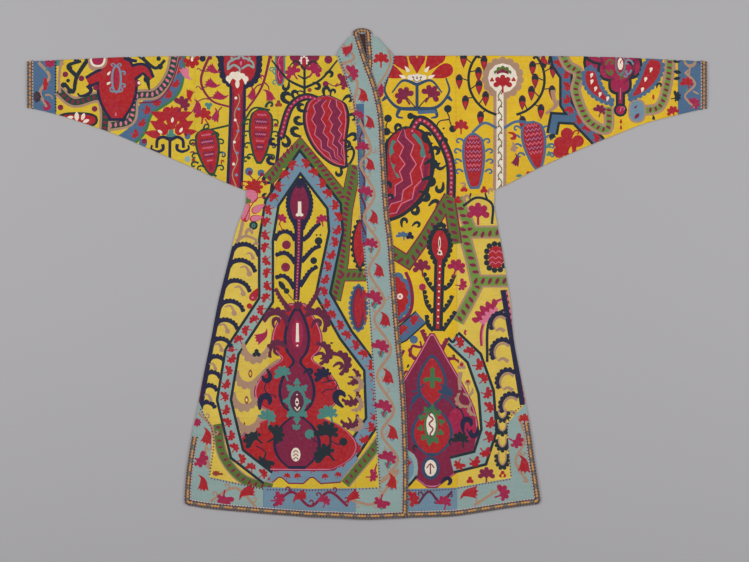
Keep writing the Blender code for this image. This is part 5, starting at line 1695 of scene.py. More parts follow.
def over_the_fold(drawn, axis=lambda x: np.full(np.shape(x), FOLD_AXIS_Y)):
    """The design on an unfolded cloth: as drawn in front, and the same again behind the shoulder."""
    front = [
        (silk, shape + np.column_stack([0 * shape[:, 0], FOLD_AXIS_Y - axis(shape[:, 0])]))
        for silk, shape in drawn
    ]
    back = [(silk, shape * (1, -1) + (0, 2 * MIRROR_Y)) for silk, shape in front]
    return back + front


FACE_SPACING = 9.0       # between the cut points of the stitched face
LINING_SPACING = 22.0    # and of the plain lining


def cloth_piece(name, outline, drawn, ground, place, slot="embroidered_cloth", face_down=False, rows=()):
    """A closed piece of cloth: stitched face, lining one wall behind it, and the edge between."""
    face, face_triangles, shape_of = cut_out(outline, drawn, FACE_SPACING, SEAM_PULL, rows)
    lining, lining_triangles, _ = cut_out(outline, [], LINING_SPACING, 0.0, rows)
    walls = edge_wall(face, rim_of(face, face_triangles), lining, rim_of(lining, lining_triangles))
    outer = place(face, 1 - SEAM_DIP * near_edge(face, outline))
    inner = place(lining, np.zeros(len(lining)))
    faces = np.concatenate([face_triangles, lining_triangles[:, ::-1] + len(face), walls])
    if face_down:
        faces = faces[:, ::-1]
    colours = [dyed(drawn[i][0]) if i >= 0 else dyed(ground) for i in shape_of]
    colours += [dyed("lining")] * len(lining_triangles) + [dyed(ground)] * len(walls)
    mesh = bpy.data.meshes.new(name)
    mesh.from_pydata((np.concatenate([outer, inner]) * MM).tolist(), [], faces.tolist())
    threads = mesh.attributes.new("thread", "FLOAT_COLOR", "CORNER")
    threads.data.foreach_set("color", np.repeat(np.array(colours, np.float32), 3, axis=0).ravel())
    mesh.shade_smooth()
    mesh.set_sharp_from_angle(angle=math.radians(50))
    mesh.materials.append(silk_panels)
    piece = bpy.data.objects.new(name, mesh)
    bpy.context.collection.objects.link(piece)
    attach(piece, "root")
    return piece


def crossing(side_line, end_line, y):
    """Where a side line, read by y, meets an end line, read by x."""
    for _ in range(25):
        x = float(side_line(y))
        y = float(end_line(x))
    return x, y


def down_line(line, start, stop, step=12.0):
    """Points along a line read by y."""
    places = np.linspace(start, stop, max(2, int(abs(stop - start) / step) + 1))
    return np.column_stack([line(places), places])


def cross_line(line, start, stop, step=12.0):
    """Points along a line read by x."""
    places = np.linspace(start, stop, max(2, int(abs(stop - start) / step) + 1))
    return np.column_stack([places, line(places)])


def facing_up(outline):
    """The outline turned so that its cloth lies on its left."""
    x, y = outline.T
    area = np.sum(x * np.roll(y, -1) - np.roll(x, -1) * y)
    return outline if area > 0 else outline[::-1]


def joined(*lines):
    """One closed outline from lines that meet end to end, facing up, with no point twice."""
    outline = np.concatenate(lines)
    apart = np.hypot(*(outline - np.roll(outline, 1, axis=0)).T) > 0.05
    return facing_up(outline[apart])


def cut_area(outline):
    """Area of an outline, in square metres."""
    x, y = outline.T
    return abs(np.sum(x * np.roll(y, -1) - np.roll(x, -1) * y)) / 2 * MM**2


def lay(outline):
    """Works out a piece's width, length and cut area, and uses none of them."""
    width, length = np.ptp(outline, axis=0) * MM
    float(cut_area(outline))


SIDE_WORD = {-1: "left", 1: "right"}


def body_outline(side):
    """One half of the body, unfolded: its front below the shoulder line, its back above it."""

    def outer(y):
        return gore_seam[side](y) - side * HALF_SEAM

    def wedge_side(y):
        return -side * wedge_seam(y) + side * HALF_SEAM

    def neck_side(y):
        return band_edge[side](y) + side * HALF_SEAM

    def back_hem(x):
        return bound_hem(x) + BACK_INSET

    def back_middle(y):
        return np.full(np.shape(y), side * HALF_SEAM)

    def neckline(x):
        share = x / band_edge[side](SHOULDER_Y)
        return FOLD_AXIS_Y - NECK_DIP * (1 - share**2)

    hem_in = crossing(wedge_side, bound_hem, HEM_NEAR["seam"])
    hem_out = crossing(outer, bound_hem, HEM_NEAR["seam"])
    back_in = crossing(back_middle, back_hem, HEM_NEAR["seam"])
    back_out = crossing(outer, back_hem, HEM_NEAR["seam"])
    neck_x = float(neck_side(FOLD_AXIS_Y))
    unfold = (0, 2 * MIRROR_Y)
    fold_points = [(neck_x, FOLD_AXIS_Y + FOLD_ARC * t) for t in (0.25, 0.5, 0.75)]
    return joined(
        down_line(wedge_side, hem_in[1], BAND_FOOT_Y),
        down_line(neck_side, BAND_FOOT_Y + 1, FOLD_AXIS_Y),
        fold_points,
        cross_line(neckline, neck_x, side * HALF_SEAM) * (1, -1) + unfold,
        down_line(back_middle, float(neckline(0.0)) - 4, back_in[1]) * (1, -1) + unfold,
        cross_line(back_hem, back_in[0], back_out[0]) * (1, -1) + unfold,
        down_line(outer, back_out[1], ARMPIT_Y) * (1, -1) + unfold,
        down_line(outer, ARMHOLE_Y, FOLD_AXIS_Y) * (1, -1) + unfold,
        [(float(outer(FOLD_AXIS_Y)), FOLD_AXIS_Y + FOLD_ARC * t) for t in (0.75, 0.5, 0.25)],
        down_line(outer, FOLD_AXIS_Y, ARMHOLE_Y),
        down_line(outer, ARMPIT_Y, hem_out[1]),
        cross_line(bound_hem, hem_out[0], hem_in[0]),
    )


FOLD_ROWS_UP = [FOLD_AXIS_Y + FOLD_ARC * t for t in np.linspace(-0.3, 1.3, 9)]
# The right half's ground is the yellow with painted light: more golden, as the light falls on that side
for side, ground in ((-1, "yellow"), (1, "gold_painted_light")):
    outline = body_outline(side)
    piece = cloth_piece(
        "embroidered_body_" + SIDE_WORD[side], outline, over_the_fold(stitched[side]), ground,
        folded_place(upper_layer[side]), rows=FOLD_ROWS_UP,
    )
    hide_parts("body_" + SIDE_WORD[side])
    lay(outline)

# ---- Wedges ----
# A long narrow triangle of the same stitched cloth widens each front towards the hem.
# It is seamed to the body from the foot of the neckband down and bound on its open edge.
BRAID_GAP = 0.6
SEAM_GAP = 0.3
bound_front = {side: beside(front_edge[side], side * (BRAID_WIDTH + SEAM_GAP)) for side in (-1, 1)}

for side in (-1, 1):
    def seam(y):
        return -side * wedge_seam(y) - side * HALF_SEAM

    foot_in = crossing(seam, bound_hem, HEM_NEAR["seam"])
    foot_out = crossing(bound_front[side], bound_hem, HEM_NEAR["seam"])
    top = BAND_FOOT_Y - HALF_SEAM
    outline = joined(
        down_line(seam, foot_in[1], top),
        down_line(bound_front[side], top, foot_out[1]),
        cross_line(bound_hem, foot_out[0], foot_in[0]),
    )
    piece = cloth_piece(
        "embroidered_wedge_" + SIDE_WORD[side], outline, stitched[side], "yellow",
        flat_place(upper_layer[side]), slot="embroidered_band",
    )
    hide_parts("wedge_" + SIDE_WORD[side])
    lay(outline)

# ---- Gores ----
# Flared side panels, front and back, run from under the arm to the hem.
# Each pair is seamed down the side as far as the slit, and bound with braid from there.
# Side of the skirt, armpit to hem:   y, left x, right x
SIDE_ROWS = (
    (210, -306, 324), (174, -309, 323), (123, -328, 331), (60, -345, 343), (9, -358, 351),
    (-67, -377, 363), (-169, -397, 373), (-271, -418, 392), (-347, -432, 406), (-397, -442, 415),
    (-461, -453, 424), (-512, -460, 432), (-590, -465, 443),
)
# Sleeves, armhole to cuff:   distance from the middle, top y, left bottom y, right bottom y
SLEEVE_ROWS = (
    (226, 554, 187, 189), (324, 554, 217, 213), (437, 553, 267, 269), (551, 552, 316, 320),
    (627, 550, 349, 351), (704, 547, 377, 381), (787, 543, 404, 403), (864, 539, 423, 421),
)
SLIT_TOP_Y = {-1: -415.0, 1: -380.0}
SEAM_EASE = 14.0         # beside the side seam, over which the two layers part
FOLD_EASE = 34.0         # and over which the folds come in
SLIT_EASE = 60.0         # above the slit, over which the seam closes
SLIT_STEP = 0.2          # length of the step from the bound slit to the seamed side
ARMPIT_NEAR = 180        # about where the side meets the armpit

side_edge = {-1: curve(SIDE_ROWS, 1), 1: curve(SIDE_ROWS, 2)}
sleeve_bottom = {-1: curve(SLEEVE_ROWS, 2), 1: curve(SLEEVE_ROWS, 3)}


def front_gore_under(side):
    """The front gore comes down on to the back one along the side seam, above the slit."""

    def under(x, y):
        away = np.abs(x - side_edge[side](y))
        seamed = smooth_step((y - SLIT_TOP_Y[side]) / SLIT_EASE)
        rise = upper_layer[side](x, y) - FRONT_Z
        free = 1 - seamed * (1 - smooth_step(away / FOLD_EASE))
        return WALL + LAYER_GAP * (1 - seamed * (1 - smooth_step(away / SEAM_EASE))) + rise * free

    return under


for side in (-1, 1):
    for front in (True, False):
        inset = 0.0 if front else BACK_INSET
        bound_side = beside(side_edge[side], -side * (BRAID_WIDTH + SEAM_GAP))

        def edge(y):
            return np.where(y < SLIT_TOP_Y[side], bound_side(y), side_edge[side](y)) - side * inset

        def seam(y):
            return gore_seam[side](y) + side * HALF_SEAM

        def hem(x):
            return bound_hem(x) + inset

        def armpit(x):
            return sleeve_bottom[side](np.abs(x)) - SEAM_GAP

        slit = SLIT_TOP_Y[side]
        hem_out, hem_in = crossing(edge, hem, HEM_NEAR["side"]), crossing(seam, hem, HEM_NEAR["seam"])
        pit_out, pit_in = crossing(edge, armpit, ARMPIT_NEAR), crossing(seam, armpit, ARMPIT_Y)
        outline = joined(
            cross_line(hem, hem_in[0], hem_out[0]),
            down_line(edge, hem_out[1], slit - SLIT_STEP),
            down_line(edge, slit + SLIT_STEP, pit_out[1]),
            cross_line(armpit, pit_out[0], pit_in[0]),
            down_line(seam, pit_in[1], hem_in[1]),
        )
        word = ("front_" if front else "back_") + SIDE_WORD[side]
        under = front_gore_under(side) if front else on_ground
        piece = cloth_piece(
            "embroidered_gore_" + word, outline, stitched[side], "straw",
            flat_place(under, face_down=not front), face_down=not front,
        )
        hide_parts("gore_" + word)
        lay(outline)

# ---- Sleeves and cuffs ----
# Each sleeve is pieced from two lengths of stitched cloth and an embroidered cuff band.
# They are folded along the top and seamed underneath into a flat tapering tube.
SLEEVE_JOIN_X = 437.0
CUFF_START_X = 790.0
CUFF_BRAID_X = 848.0
CUFF_END_X = 864.0
# Where the underarm seam draws the layers together, and the folds fade out, over how far
SLEEVE_EASE = {"armhole": 50.0, "seam": 40.0, "fold": 60.0}

sleeve_top = curve(SLEEVE_ROWS, 1)


def sleeve_axis(x):
    """The line that a sleeve is folded along."""
    return sleeve_top(np.abs(x)) - (SHOULDER_Y - FOLD_AXIS_Y)


def sleeve_under(side):
    """The upper layer of a sleeve, which comes down on to the lower one along the seam."""

    def under(x, y):
        top, bottom = sleeve_top(np.abs(x)), sleeve_bottom[side](np.abs(x))
        into = smooth_step((np.abs(x) - SEAM_X) / SLEEVE_EASE["armhole"])
        away = y - bottom
        free = 1 - into * (1 - smooth_step(away / SLEEVE_EASE["seam"]))
        free = free * smooth_step((top - y) / SLEEVE_EASE["fold"])
        rise = (ripples(x, y) + soft_folds(x, y)) * free
        return WALL + LAYER_GAP * (1 - into * (1 - smooth_step(away / SEAM_EASE))) + rise

    return under


# The right sleeve's ground is the yellow with painted light, as on the body
# Name, start, end, slot, ground of the left one and the right one
SLEEVE_PIECES = (
    ("sleeve_upper", SEAM_X + HALF_SEAM, SLEEVE_JOIN_X - HALF_SEAM, "embroidered_cloth", ("yellow", "gold_painted_light")),
    (
        "sleeve_lower", SLEEVE_JOIN_X + HALF_SEAM, CUFF_START_X - HALF_SEAM, "embroidered_cloth",
        ("yellow", "gold_painted_light"),
    ),
    ("cuff", CUFF_START_X + HALF_SEAM, CUFF_BRAID_X - HALF_SEAM, "embroidered_band", ("steel", "steel")),
)
for side in (-1, 1):
    design = over_the_fold(stitched[side], sleeve_axis)
    for name, near, far, slot, grounds in SLEEVE_PIECES:
        def underarm(x):
            return sleeve_bottom[side](np.abs(x)) - sleeve_axis(x) + FOLD_AXIS_Y

        near_x, far_x = side * near, side * far
        near_up, far_up = float(underarm(near_x)), float(underarm(far_x))
        front = cross_line(underarm, near_x, far_x)
        ends = [
            down_line(lambda y: np.full(np.shape(y), x), up, 2 * MIRROR_Y - up)
            for x, up in ((far_x, far_up), (near_x, near_up))
        ]
        outline = joined(front, ends[0], front[::-1] * (1, -1) + (0, 2 * MIRROR_Y), ends[1][::-1])
        piece = cloth_piece(
            "embroidered_" + name + "_" + SIDE_WORD[side], outline, design, grounds[(side + 1) // 2],
            folded_place(sleeve_under(side), sleeve_axis), slot=slot, rows=FOLD_ROWS_UP,
        )
        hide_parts(name + "_" + SIDE_WORD[side])
        lay(outline)

# ---- Neckband ----
# A band of stitched cloth goes round the back of the neck and runs down on to both fronts.
# It is seamed to the body and tapers into the wedge; behind the neck its lining shows.
BAND_TOP_Y = 602.0
NECK_BACK_TOP_Y = 609.4
NECK_SEAM_GAP = 2.2

for side in (-1, 1):
    def outer(y):
        return band_edge[side](y) - side * HALF_SEAM

    foot, top = BAND_FOOT_Y + HALF_SEAM, BAND_TOP_Y
    outline = joined(
        down_line(outer, foot, top),
        down_line(bound_front[side], top, foot),
    )
    piece = cloth_piece(
        "embroidered_neckband_" + SIDE_WORD[side], outline, stitched[side], "aqua",
        flat_place(upper_layer[side]), slot="embroidered_band",
    )
    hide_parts("neckband_" + SIDE_WORD[side])
    lay(outline)


def back_left(y):
    return band_edge[-1](np.maximum(y, SHOULDER_Y + 2)) + NECK_SEAM_GAP


def back_right(y):
    return band_edge[1](np.maximum(y, SHOULDER_Y + 2)) - NECK_SEAM_GAP


def back_foot(x):
    share = np.clip(x / np.where(x < 0, band_edge[-1](SHOULDER_Y), band_edge[1](SHOULDER_Y)), -1, 1)
    return FOLD_AXIS_Y - NECK_DIP * (1 - share**2) + NECK_SEAM_GAP


foot_left, foot_right = crossing(back_left, back_foot, 552), crossing(back_right, back_foot, 552)
opening = float(front_edge[-1](BAND_TOP_Y) + front_edge[1](BAND_TOP_Y)) / 2
top_edge = [(opening + across, y) for across, y in (
    (24, BAND_TOP_Y - 2), (19, NECK_BACK_TOP_Y), (-19, NECK_BACK_TOP_Y), (-24, BAND_TOP_Y - 2),
)]
outline = joined(
    cross_line(back_foot, foot_left[0], foot_right[0]),
    down_line(back_right, foot_right[1], BAND_TOP_Y - 4), np.array(top_edge),
    down_line(back_left, BAND_TOP_Y - 4, foot_left[1]),
)
piece = cloth_piece(
    "embroidered_neckband_back", outline, [], "aqua", flat_place(on_ground, face_down=True),
    slot="embroidered_band", face_down=True,
)
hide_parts("neckband_back")
lay(outline)

# ---- Bound edges ----
# Every open edge is bound with a narrow woven tape, folded over the edge of the cloth.
# A cord wrapped in orange and grey silk lies along it, whipped down with dark stitches on both sides.
BRAID_TOP_Y = 609.0
CORNER_RADIUS = {"outer": 13.0, "inner": 2.0}
CORNER_STEPS = 5
TAPE_STEP = 9.0
# Section of the tape:   share of its width, height in walls, colour
TAPE_SECTION = (
    (0.00, 0.00, "selvedge"), (0.00, 0.66, "selvedge"), (0.04, 0.92, "selvedge"), (0.16, 1.04, "binding"),
    (0.30, 1.00, "groove"), (0.50, 0.96, "groove"), (0.70, 1.00, "binding"),
    (0.86, 1.04, "tape"), (0.96, 0.92, "tape"), (1.00, 0.66, "tape"), (1.00, 0.00, "tape"),
)
SILKS.update({
    "tape": (206, 190, 188),
    "selvedge": (138, 122, 112),
    "binding": (100, 84, 84),
    "groove": (78, 64, 58),
    "wrapped orange": (206, 146, 78),
    "wrapped grey": (120, 112, 100),
    "whipping": (54, 34, 50),
})


def corner_rounded(path, corner_at, radius):
    """The path with an arc in place of each named corner."""
    points = []
    for i, point in enumerate(path):
        if i not in corner_at:
            points.append(point)
            continue
        before, after = point - path[i - 1], path[i + 1] - point
        before, after = before / np.linalg.norm(before), after / np.linalg.norm(after)
        half_turn = math.acos(float(np.clip(before @ after, -1, 1))) / 2
        back = radius * math.tan(half_turn)
        start, end = point - before * back, point + after * back
        for t in np.linspace(0, 1, CORNER_STEPS):
            points.append((1 - t) ** 2 * start + 2 * t * (1 - t) * point + t**2 * end)
    return np.array(points)


def moved(path, distance):
    """The path moved to its right by the distance, with mitred corners."""
    before = np.diff(path, axis=0, prepend=path[:1] - (path[1:2] - path[:1]))
    after = np.diff(path, axis=0, append=path[-1:] + (path[-1:] - path[-2:-1]))
    normals = []
    for line in (before, after):
        line = line / np.linalg.norm(line, axis=1, keepdims=True)
        normals.append(np.stack([line[:, 1], -line[:, 0]], axis=-1))
    mitre = normals[0] + normals[1]
    mitre = mitre / np.linalg.norm(mitre, axis=1, keepdims=True)
    return path + mitre * (distance / np.sum(mitre * normals[0], axis=1, keepdims=True))


def front_binding(side):
    """Outer and inner lines of the binding round one front: slit, hem, then front edge to the neck."""
    front, side_line = front_edge[side], side_edge[side]
    corner_x, corner_y = crossing(side_line, hem_line, HEM_NEAR["side"])
    front_x, front_y = crossing(front, hem_line, HEM_NEAR["front"])
    slit = down_line(side_line, SLIT_TOP_Y[side], corner_y, TAPE_STEP)
    hem = cross_line(hem_line, corner_x, front_x, TAPE_STEP)
    edge = down_line(front, front_y, BRAID_TOP_Y, TAPE_STEP)
    path = np.concatenate([slit, hem[1:], edge[1:]])
    corners = (len(slit) - 1, len(slit) + len(hem) - 2)
    outer = corner_rounded(path, corners, CORNER_RADIUS["outer"])
    return outer, corner_rounded(moved(path, side * BRAID_WIDTH), corners, CORNER_RADIUS["inner"])


def back_binding():
    """Outer and inner lines of the binding round the back: one slit, the hem, then the other slit."""
    def left(y):
        return side_edge[-1](y) + BACK_INSET

    def right(y):
        return side_edge[1](y) - BACK_INSET

    def hem(x):
        return hem_line(x) + BACK_INSET

    left_x, left_y = crossing(left, hem, HEM_NEAR["side"])
    right_x, right_y = crossing(right, hem, HEM_NEAR["side"])
    first = down_line(left, SLIT_TOP_Y[-1], left_y, TAPE_STEP)
    middle = cross_line(hem, left_x, right_x, TAPE_STEP)
    last = down_line(right, right_y, SLIT_TOP_Y[1], TAPE_STEP)
    path = np.concatenate([first, middle[1:], last[1:]])
    corners = (len(first) - 1, len(first) + len(middle) - 2)
    outer = corner_rounded(path, corners, CORNER_RADIUS["outer"])
    return outer, corner_rounded(moved(path, -BRAID_WIDTH), corners, CORNER_RADIUS["inner"])


def neck_binding():
    """The arch behind the neck, from the top of one front's binding to the other's."""
    half_span, rise, inner_rise, left_slant = 24.0, 12.95, 1.5, 0.33
    turns = np.linspace(math.pi + left_slant, 0, 19)
    middle_x = float(front_edge[-1](BRAID_TOP_Y) + front_edge[1](BRAID_TOP_Y)) / 2
    foot_y = BRAID_TOP_Y + 3 * BRAID_GAP

    def arch(span, height):
        return np.column_stack([middle_x + span * np.cos(turns), foot_y + height * np.sin(turns)])

    return arch(half_span, rise), arch(half_span - BRAID_WIDTH, inner_rise)


def cuff_binding(side):
    """Round the open end of a sleeve, on its unfolded cloth."""
    ends = []
    for x in (CUFF_END_X, CUFF_BRAID_X + HALF_SEAM):
        bottom = float(sleeve_bottom[side](x) - sleeve_axis(x) + FOLD_AXIS_Y)
        front = np.linspace(bottom, FOLD_AXIS_Y - 2, 16)
        ups = np.concatenate([front, FOLD_ROWS_UP[1:-1], 2 * MIRROR_Y - front[::-1]])
        ends.append(np.column_stack([np.full(len(ups), side * x), ups]))
    return ends


silk_tape = silk_stitch("woven_tape", wear=0.2, stitch=0.0009, depth=0.0003)


def tape(name, outer, inner, place, flip):
    """The folded tape between two matching lines."""
    rows = []
    for share, height, _ in TAPE_SECTION:
        rows.append(place(outer + share * (inner - outer), np.full(len(outer), height)))
    points = np.stack(rows, axis=1)
    count, wide = points.shape[:2]
    faces, colours = [], []
    for i in range(count - 1):
        for j in range(wide):
            a, b = i * wide + j, i * wide + (j + 1) % wide
            faces.append((a, b, b + wide, a + wide))
            colours += [dyed(TAPE_SECTION[j][2])] * 4
    faces += [tuple(range(wide))[::-1], tuple(range((count - 1) * wide, count * wide))]
    colours += [dyed("tape")] * (2 * wide)
    if flip:
        faces = [face[::-1] for face in faces]
    mesh = bpy.data.meshes.new(name)
    mesh.from_pydata((points.reshape(-1, 3) * MM).tolist(), [], faces)
    threads = mesh.attributes.new("thread", "FLOAT_COLOR", "CORNER")
    threads.data.foreach_set("color", np.array(colours, np.float32).ravel())
    mesh.shade_smooth()
    mesh.set_sharp_from_angle(angle=math.radians(60))
    mesh.materials.append(silk_tape)
    piece = bpy.data.objects.new(name, mesh)
    bpy.context.collection.objects.link(piece)
    return piece


def bead_tree():
    """Geometry nodes: one rounded stitch repeated along a path and turned with it."""
    tree = bpy.data.node_groups.new("stitches_along_path", "GeometryNodeTree")
    tree.interface.new_socket(name="Geometry", in_out="INPUT", socket_type="NodeSocketGeometry")
    for name, value in (
        ("Spacing", 0.0076), ("Length", 0.003), ("Width", 0.002), ("Height", 0.001),
        ("Slant", 0.0), ("Unevenness", 0.15),
    ):
        socket = tree.interface.new_socket(name=name, in_out="INPUT", socket_type="NodeSocketFloat")
        socket.default_value = value
    tree.interface.new_socket(name="Roundness", in_out="INPUT", socket_type="NodeSocketInt").default_value = 1
    tree.interface.new_socket(name="Silk", in_out="INPUT", socket_type="NodeSocketMaterial")
    tree.interface.new_socket(name="Geometry", in_out="OUTPUT", socket_type="NodeSocketGeometry")
    nodes, links = tree.nodes, tree.links
    given = nodes.new("NodeGroupInput").outputs
    path = nodes.new("GeometryNodeMeshToCurve")
    links.new(given["Geometry"], path.inputs["Mesh"])
    evened = nodes.new("GeometryNodeResampleCurve")
    evened.mode = "LENGTH"
    links.new(path.outputs["Curve"], evened.inputs["Curve"])
    links.new(given["Spacing"], evened.inputs["Length"])
    along = nodes.new("FunctionNodeAlignRotationToVector")
    along.axis = "X"
    along.pivot_axis = "Z"
    links.new(nodes.new("GeometryNodeInputTangent").outputs[0], along.inputs["Vector"])
    slanted = nodes.new("FunctionNodeRotateRotation")
    slanted.rotation_space = "LOCAL"
    links.new(along.outputs["Rotation"], slanted.inputs["Rotation"])
    lean = nodes.new("ShaderNodeCombineXYZ")
    turn = nodes.new("FunctionNodeEulerToRotation")
    links.new(given["Slant"], lean.inputs["Z"])
    links.new(lean.outputs[0], turn.inputs[0])
    links.new(turn.outputs[0], slanted.inputs["Rotate By"])
    stitch = nodes.new("GeometryNodeMeshIcoSphere")
    stitch.inputs["Radius"].default_value = 0.5
    links.new(given["Roundness"], stitch.inputs["Subdivisions"])
    size = nodes.new("ShaderNodeCombineXYZ")
    for name, axis in (("Length", "X"), ("Width", "Y"), ("Height", "Z")):
        links.new(given[name], size.inputs[axis])
    uneven = nodes.new("FunctionNodeRandomValue")
    uneven.inputs["Seed"].default_value = 7
    least = nodes.new("ShaderNodeMath")
    least.operation = "SUBTRACT"
    least.inputs[0].default_value = 1.0
    links.new(given["Unevenness"], least.inputs[1])
    links.new(least.outputs[0], uneven.inputs[2])
    uneven.inputs[3].default_value = 1.0
    scaled = nodes.new("ShaderNodeVectorMath")
    scaled.operation = "SCALE"
    links.new(size.outputs[0], scaled.inputs[0])
    links.new(uneven.outputs[1], scaled.inputs["Scale"])
    sewn = nodes.new("GeometryNodeInstanceOnPoints")
    links.new(evened.outputs["Curve"], sewn.inputs["Points"])
    links.new(stitch.outputs["Mesh"], sewn.inputs["Instance"])
    links.new(slanted.outputs["Rotation"], sewn.inputs["Rotation"])
    links.new(scaled.outputs[0], sewn.inputs["Scale"])
    real = nodes.new("GeometryNodeRealizeInstances")
    links.new(sewn.outputs["Instances"], real.inputs["Geometry"])
    smooth = nodes.new("GeometryNodeSetShadeSmooth")
    links.new(real.outputs["Geometry"], smooth.inputs["Geometry"])
    silk = nodes.new("GeometryNodeSetMaterial")
    links.new(smooth.outputs[0], silk.inputs["Geometry"])
    links.new(given["Silk"], silk.inputs["Material"])
    links.new(silk.outputs["Geometry"], nodes.new("NodeGroupOutput").inputs["Geometry"])
    return tree


stitches_along_path = bead_tree()


def wrapped_silk(name, silk, roughness=0.55):
    """Material of loose stitches and wrapped cord: one silk, varied along its length, with fine strands."""
    material = bpy.data.materials.new(name)
    material.use_nodes = True
    nodes, links = material.node_tree.nodes, material.node_tree.links
    shader = nodes["Principled BSDF"]
    shader.inputs["Sheen Weight"].default_value = 0.15
    shader.inputs["Roughness"].default_value = roughness
    place = nodes.new("ShaderNodeTexCoord").outputs["Object"]
    patches = nodes.new("ShaderNodeTexNoise")
    patches.inputs["Scale"].default_value = 160.0
    patches.inputs["Detail"].default_value = 3.0
    links.new(place, patches.inputs["Vector"])
    light = nodes.new("ShaderNodeMapRange")
    light.inputs["To Min"].default_value = 0.62
    light.inputs["To Max"].default_value = 1.3
    links.new(patches.outputs["Fac"], light.inputs["Value"])
    tint = nodes.new("ShaderNodeHueSaturation")
    tint.inputs["Color"].default_value = dyed(silk)
    links.new(light.outputs["Result"], tint.inputs["Value"])
    links.new(tint.outputs["Color"], shader.inputs["Base Color"])
    strands = nodes.new("ShaderNodeTexNoise")
    strands.inputs["Scale"].default_value = 900.0
    links.new(place, strands.inputs["Vector"])
    bump = nodes.new("ShaderNodeBump")
    bump.inputs["Strength"].default_value = 0.5
    bump.inputs["Distance"].default_value = 0.0003
    links.new(strands.outputs["Fac"], bump.inputs["Height"])
    links.new(bump.outputs["Normal"], shader.inputs["Normal"])
    return material


WRAPPED_ORANGE = wrapped_silk("wrapped_orange_silk", "wrapped orange")
WRAPPED_GREY = wrapped_silk("wrapped_grey_silk", "wrapped grey")
WHIPPING = wrapped_silk("whipping_silk", "whipping", 0.7)


def sew_along(name, paths, silk, spacing, length, width, height, slant=0.0, roundness=1, uneven=0.15):
    """Stitches along one or more paths of points in millimetres, made real as one plain mesh."""
    points, edges = [], []
    for path in paths:
        edges.extend((len(points) + i, len(points) + i + 1) for i in range(len(path) - 1))
        points.extend((np.asarray(path) * MM).tolist())
    mesh = bpy.data.meshes.new(name + "_path")
    mesh.from_pydata(points, edges, [])
    guide = bpy.data.objects.new(name + "_path", mesh)
    bpy.context.collection.objects.link(guide)
    sewing = guide.modifiers.new("stitches", "NODES")
    sewing.node_group = stitches_along_path
    values = {
        "Spacing": spacing * MM, "Length": length * MM, "Width": width * MM, "Height": height * MM,
        "Slant": math.radians(slant), "Unevenness": uneven, "Roundness": roundness, "Silk": silk,
    }
    for socket in stitches_along_path.interface.items_tree:
        if socket.in_out == "INPUT" and socket.name in values:
            sewing[socket.identifier] = values[socket.name]
    seen = guide.evaluated_get(bpy.context.evaluated_depsgraph_get())
    made = bpy.data.meshes.new_from_object(seen)
    made.name = name
    bpy.data.objects.remove(guide)
    # One silk on every face, and nothing pressed below the ground the coat lies on
    for slot in reversed(range(len(made.materials))):
        if made.materials[slot] is None:
            made.materials.pop(index=slot)
    made.polygons.foreach_set("material_index", np.zeros(len(made.polygons), int))
    places = np.empty(3 * len(made.vertices))
    made.vertices.foreach_get("co", places)
    places[2::3] = np.maximum(places[2::3], 0.0)
    made.vertices.foreach_set("co", places)
    made.update()
    piece = bpy.data.objects.new(name, made)
    bpy.context.collection.objects.link(piece)
    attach(piece, "root")
    return piece


WRAP_PITCH = 34.0
# Turns of each silk on the cord:   first turn, turns, length of a turn, width, height
WRAP = {"orange": (0.0, 3, 8.8, 6.2, 2.9), "grey": (23.0, 2, 7.2, 6.4, 2.6)}
CORD_LAP = 0.84                     # share of a turn before the next one starts
WHIP_PITCH, WHIP_SLANT = 7.6, 24.0
WHIP_STITCH = (5.0, 3.8, 1.5)       # length, width, height
WHIP_LINES, WHIP_HEIGHT = (0.13, 0.86), 1.06    # shares of the tape's width, and height in walls


def at_share(outer, inner, share, height, place):
    """The line along a binding at one share of its width, a little above the wall."""
    line = outer + share * (inner - outer)
    return place(line, np.full(len(line), height))


def stretch_of(path, start, pitch):
    """The path from a given run on, cut to a whole number of pitches."""
    run = np.concatenate([[0], np.cumsum(np.linalg.norm(np.diff(path, axis=0), axis=1))])
    end = start + pitch * int((run[-1] - start - 0.1) / pitch) + 0.01
    ends = [[np.interp(at, run, path[:, k]) for k in range(3)] for at in (start, end)]
    between = path[(run > start + 0.5) & (run < end - 0.5)]
    return np.concatenate([ends[:1], between, ends[1:]])


def bind(word, node, outer, inner, place, flip, tightness=1.0):
    """One bound edge: tape, wrapped cord and whipping. Tighter turns of the cord follow a tighter bend."""
    piece = tape("bound_edge_" + word, outer, inner, place, flip)
    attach(piece, "root")
    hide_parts(node)
    middle = at_share(outer, inner, 0.5, 1.0, place)
    for wrap, silk in (("orange", WRAPPED_ORANGE), ("grey", WRAPPED_GREY)):
        start, turns, length, width, height = WRAP[wrap]
        pitch = WRAP_PITCH / tightness
        starts = [(start + CORD_LAP * length * turn) / tightness + 1 for turn in range(turns)]
        paths = [stretch_of(middle, at, pitch) for at in starts]
        sew_along(
            f"wrapped_{wrap}_cord_{word}", paths, silk, pitch, length / tightness, width, height,
            roundness=2, uneven=0.04,
        )
    edges = [at_share(outer, inner, share, WHIP_HEIGHT, place) for share in WHIP_LINES]
    sew_along(
        "whipping_" + word, edges, WHIPPING, WHIP_PITCH, *WHIP_STITCH, slant=WHIP_SLANT,
    )
    run = float(np.sum(np.linalg.norm(np.diff(middle, axis=0), axis=1)))


def tape_place(under):
    """Where the tape lies on one layer, by its height in walls."""

    def place(line, height):
        x, y = line.T
        return np.column_stack([x, y, under(x, y) + height * WALL])

    return place


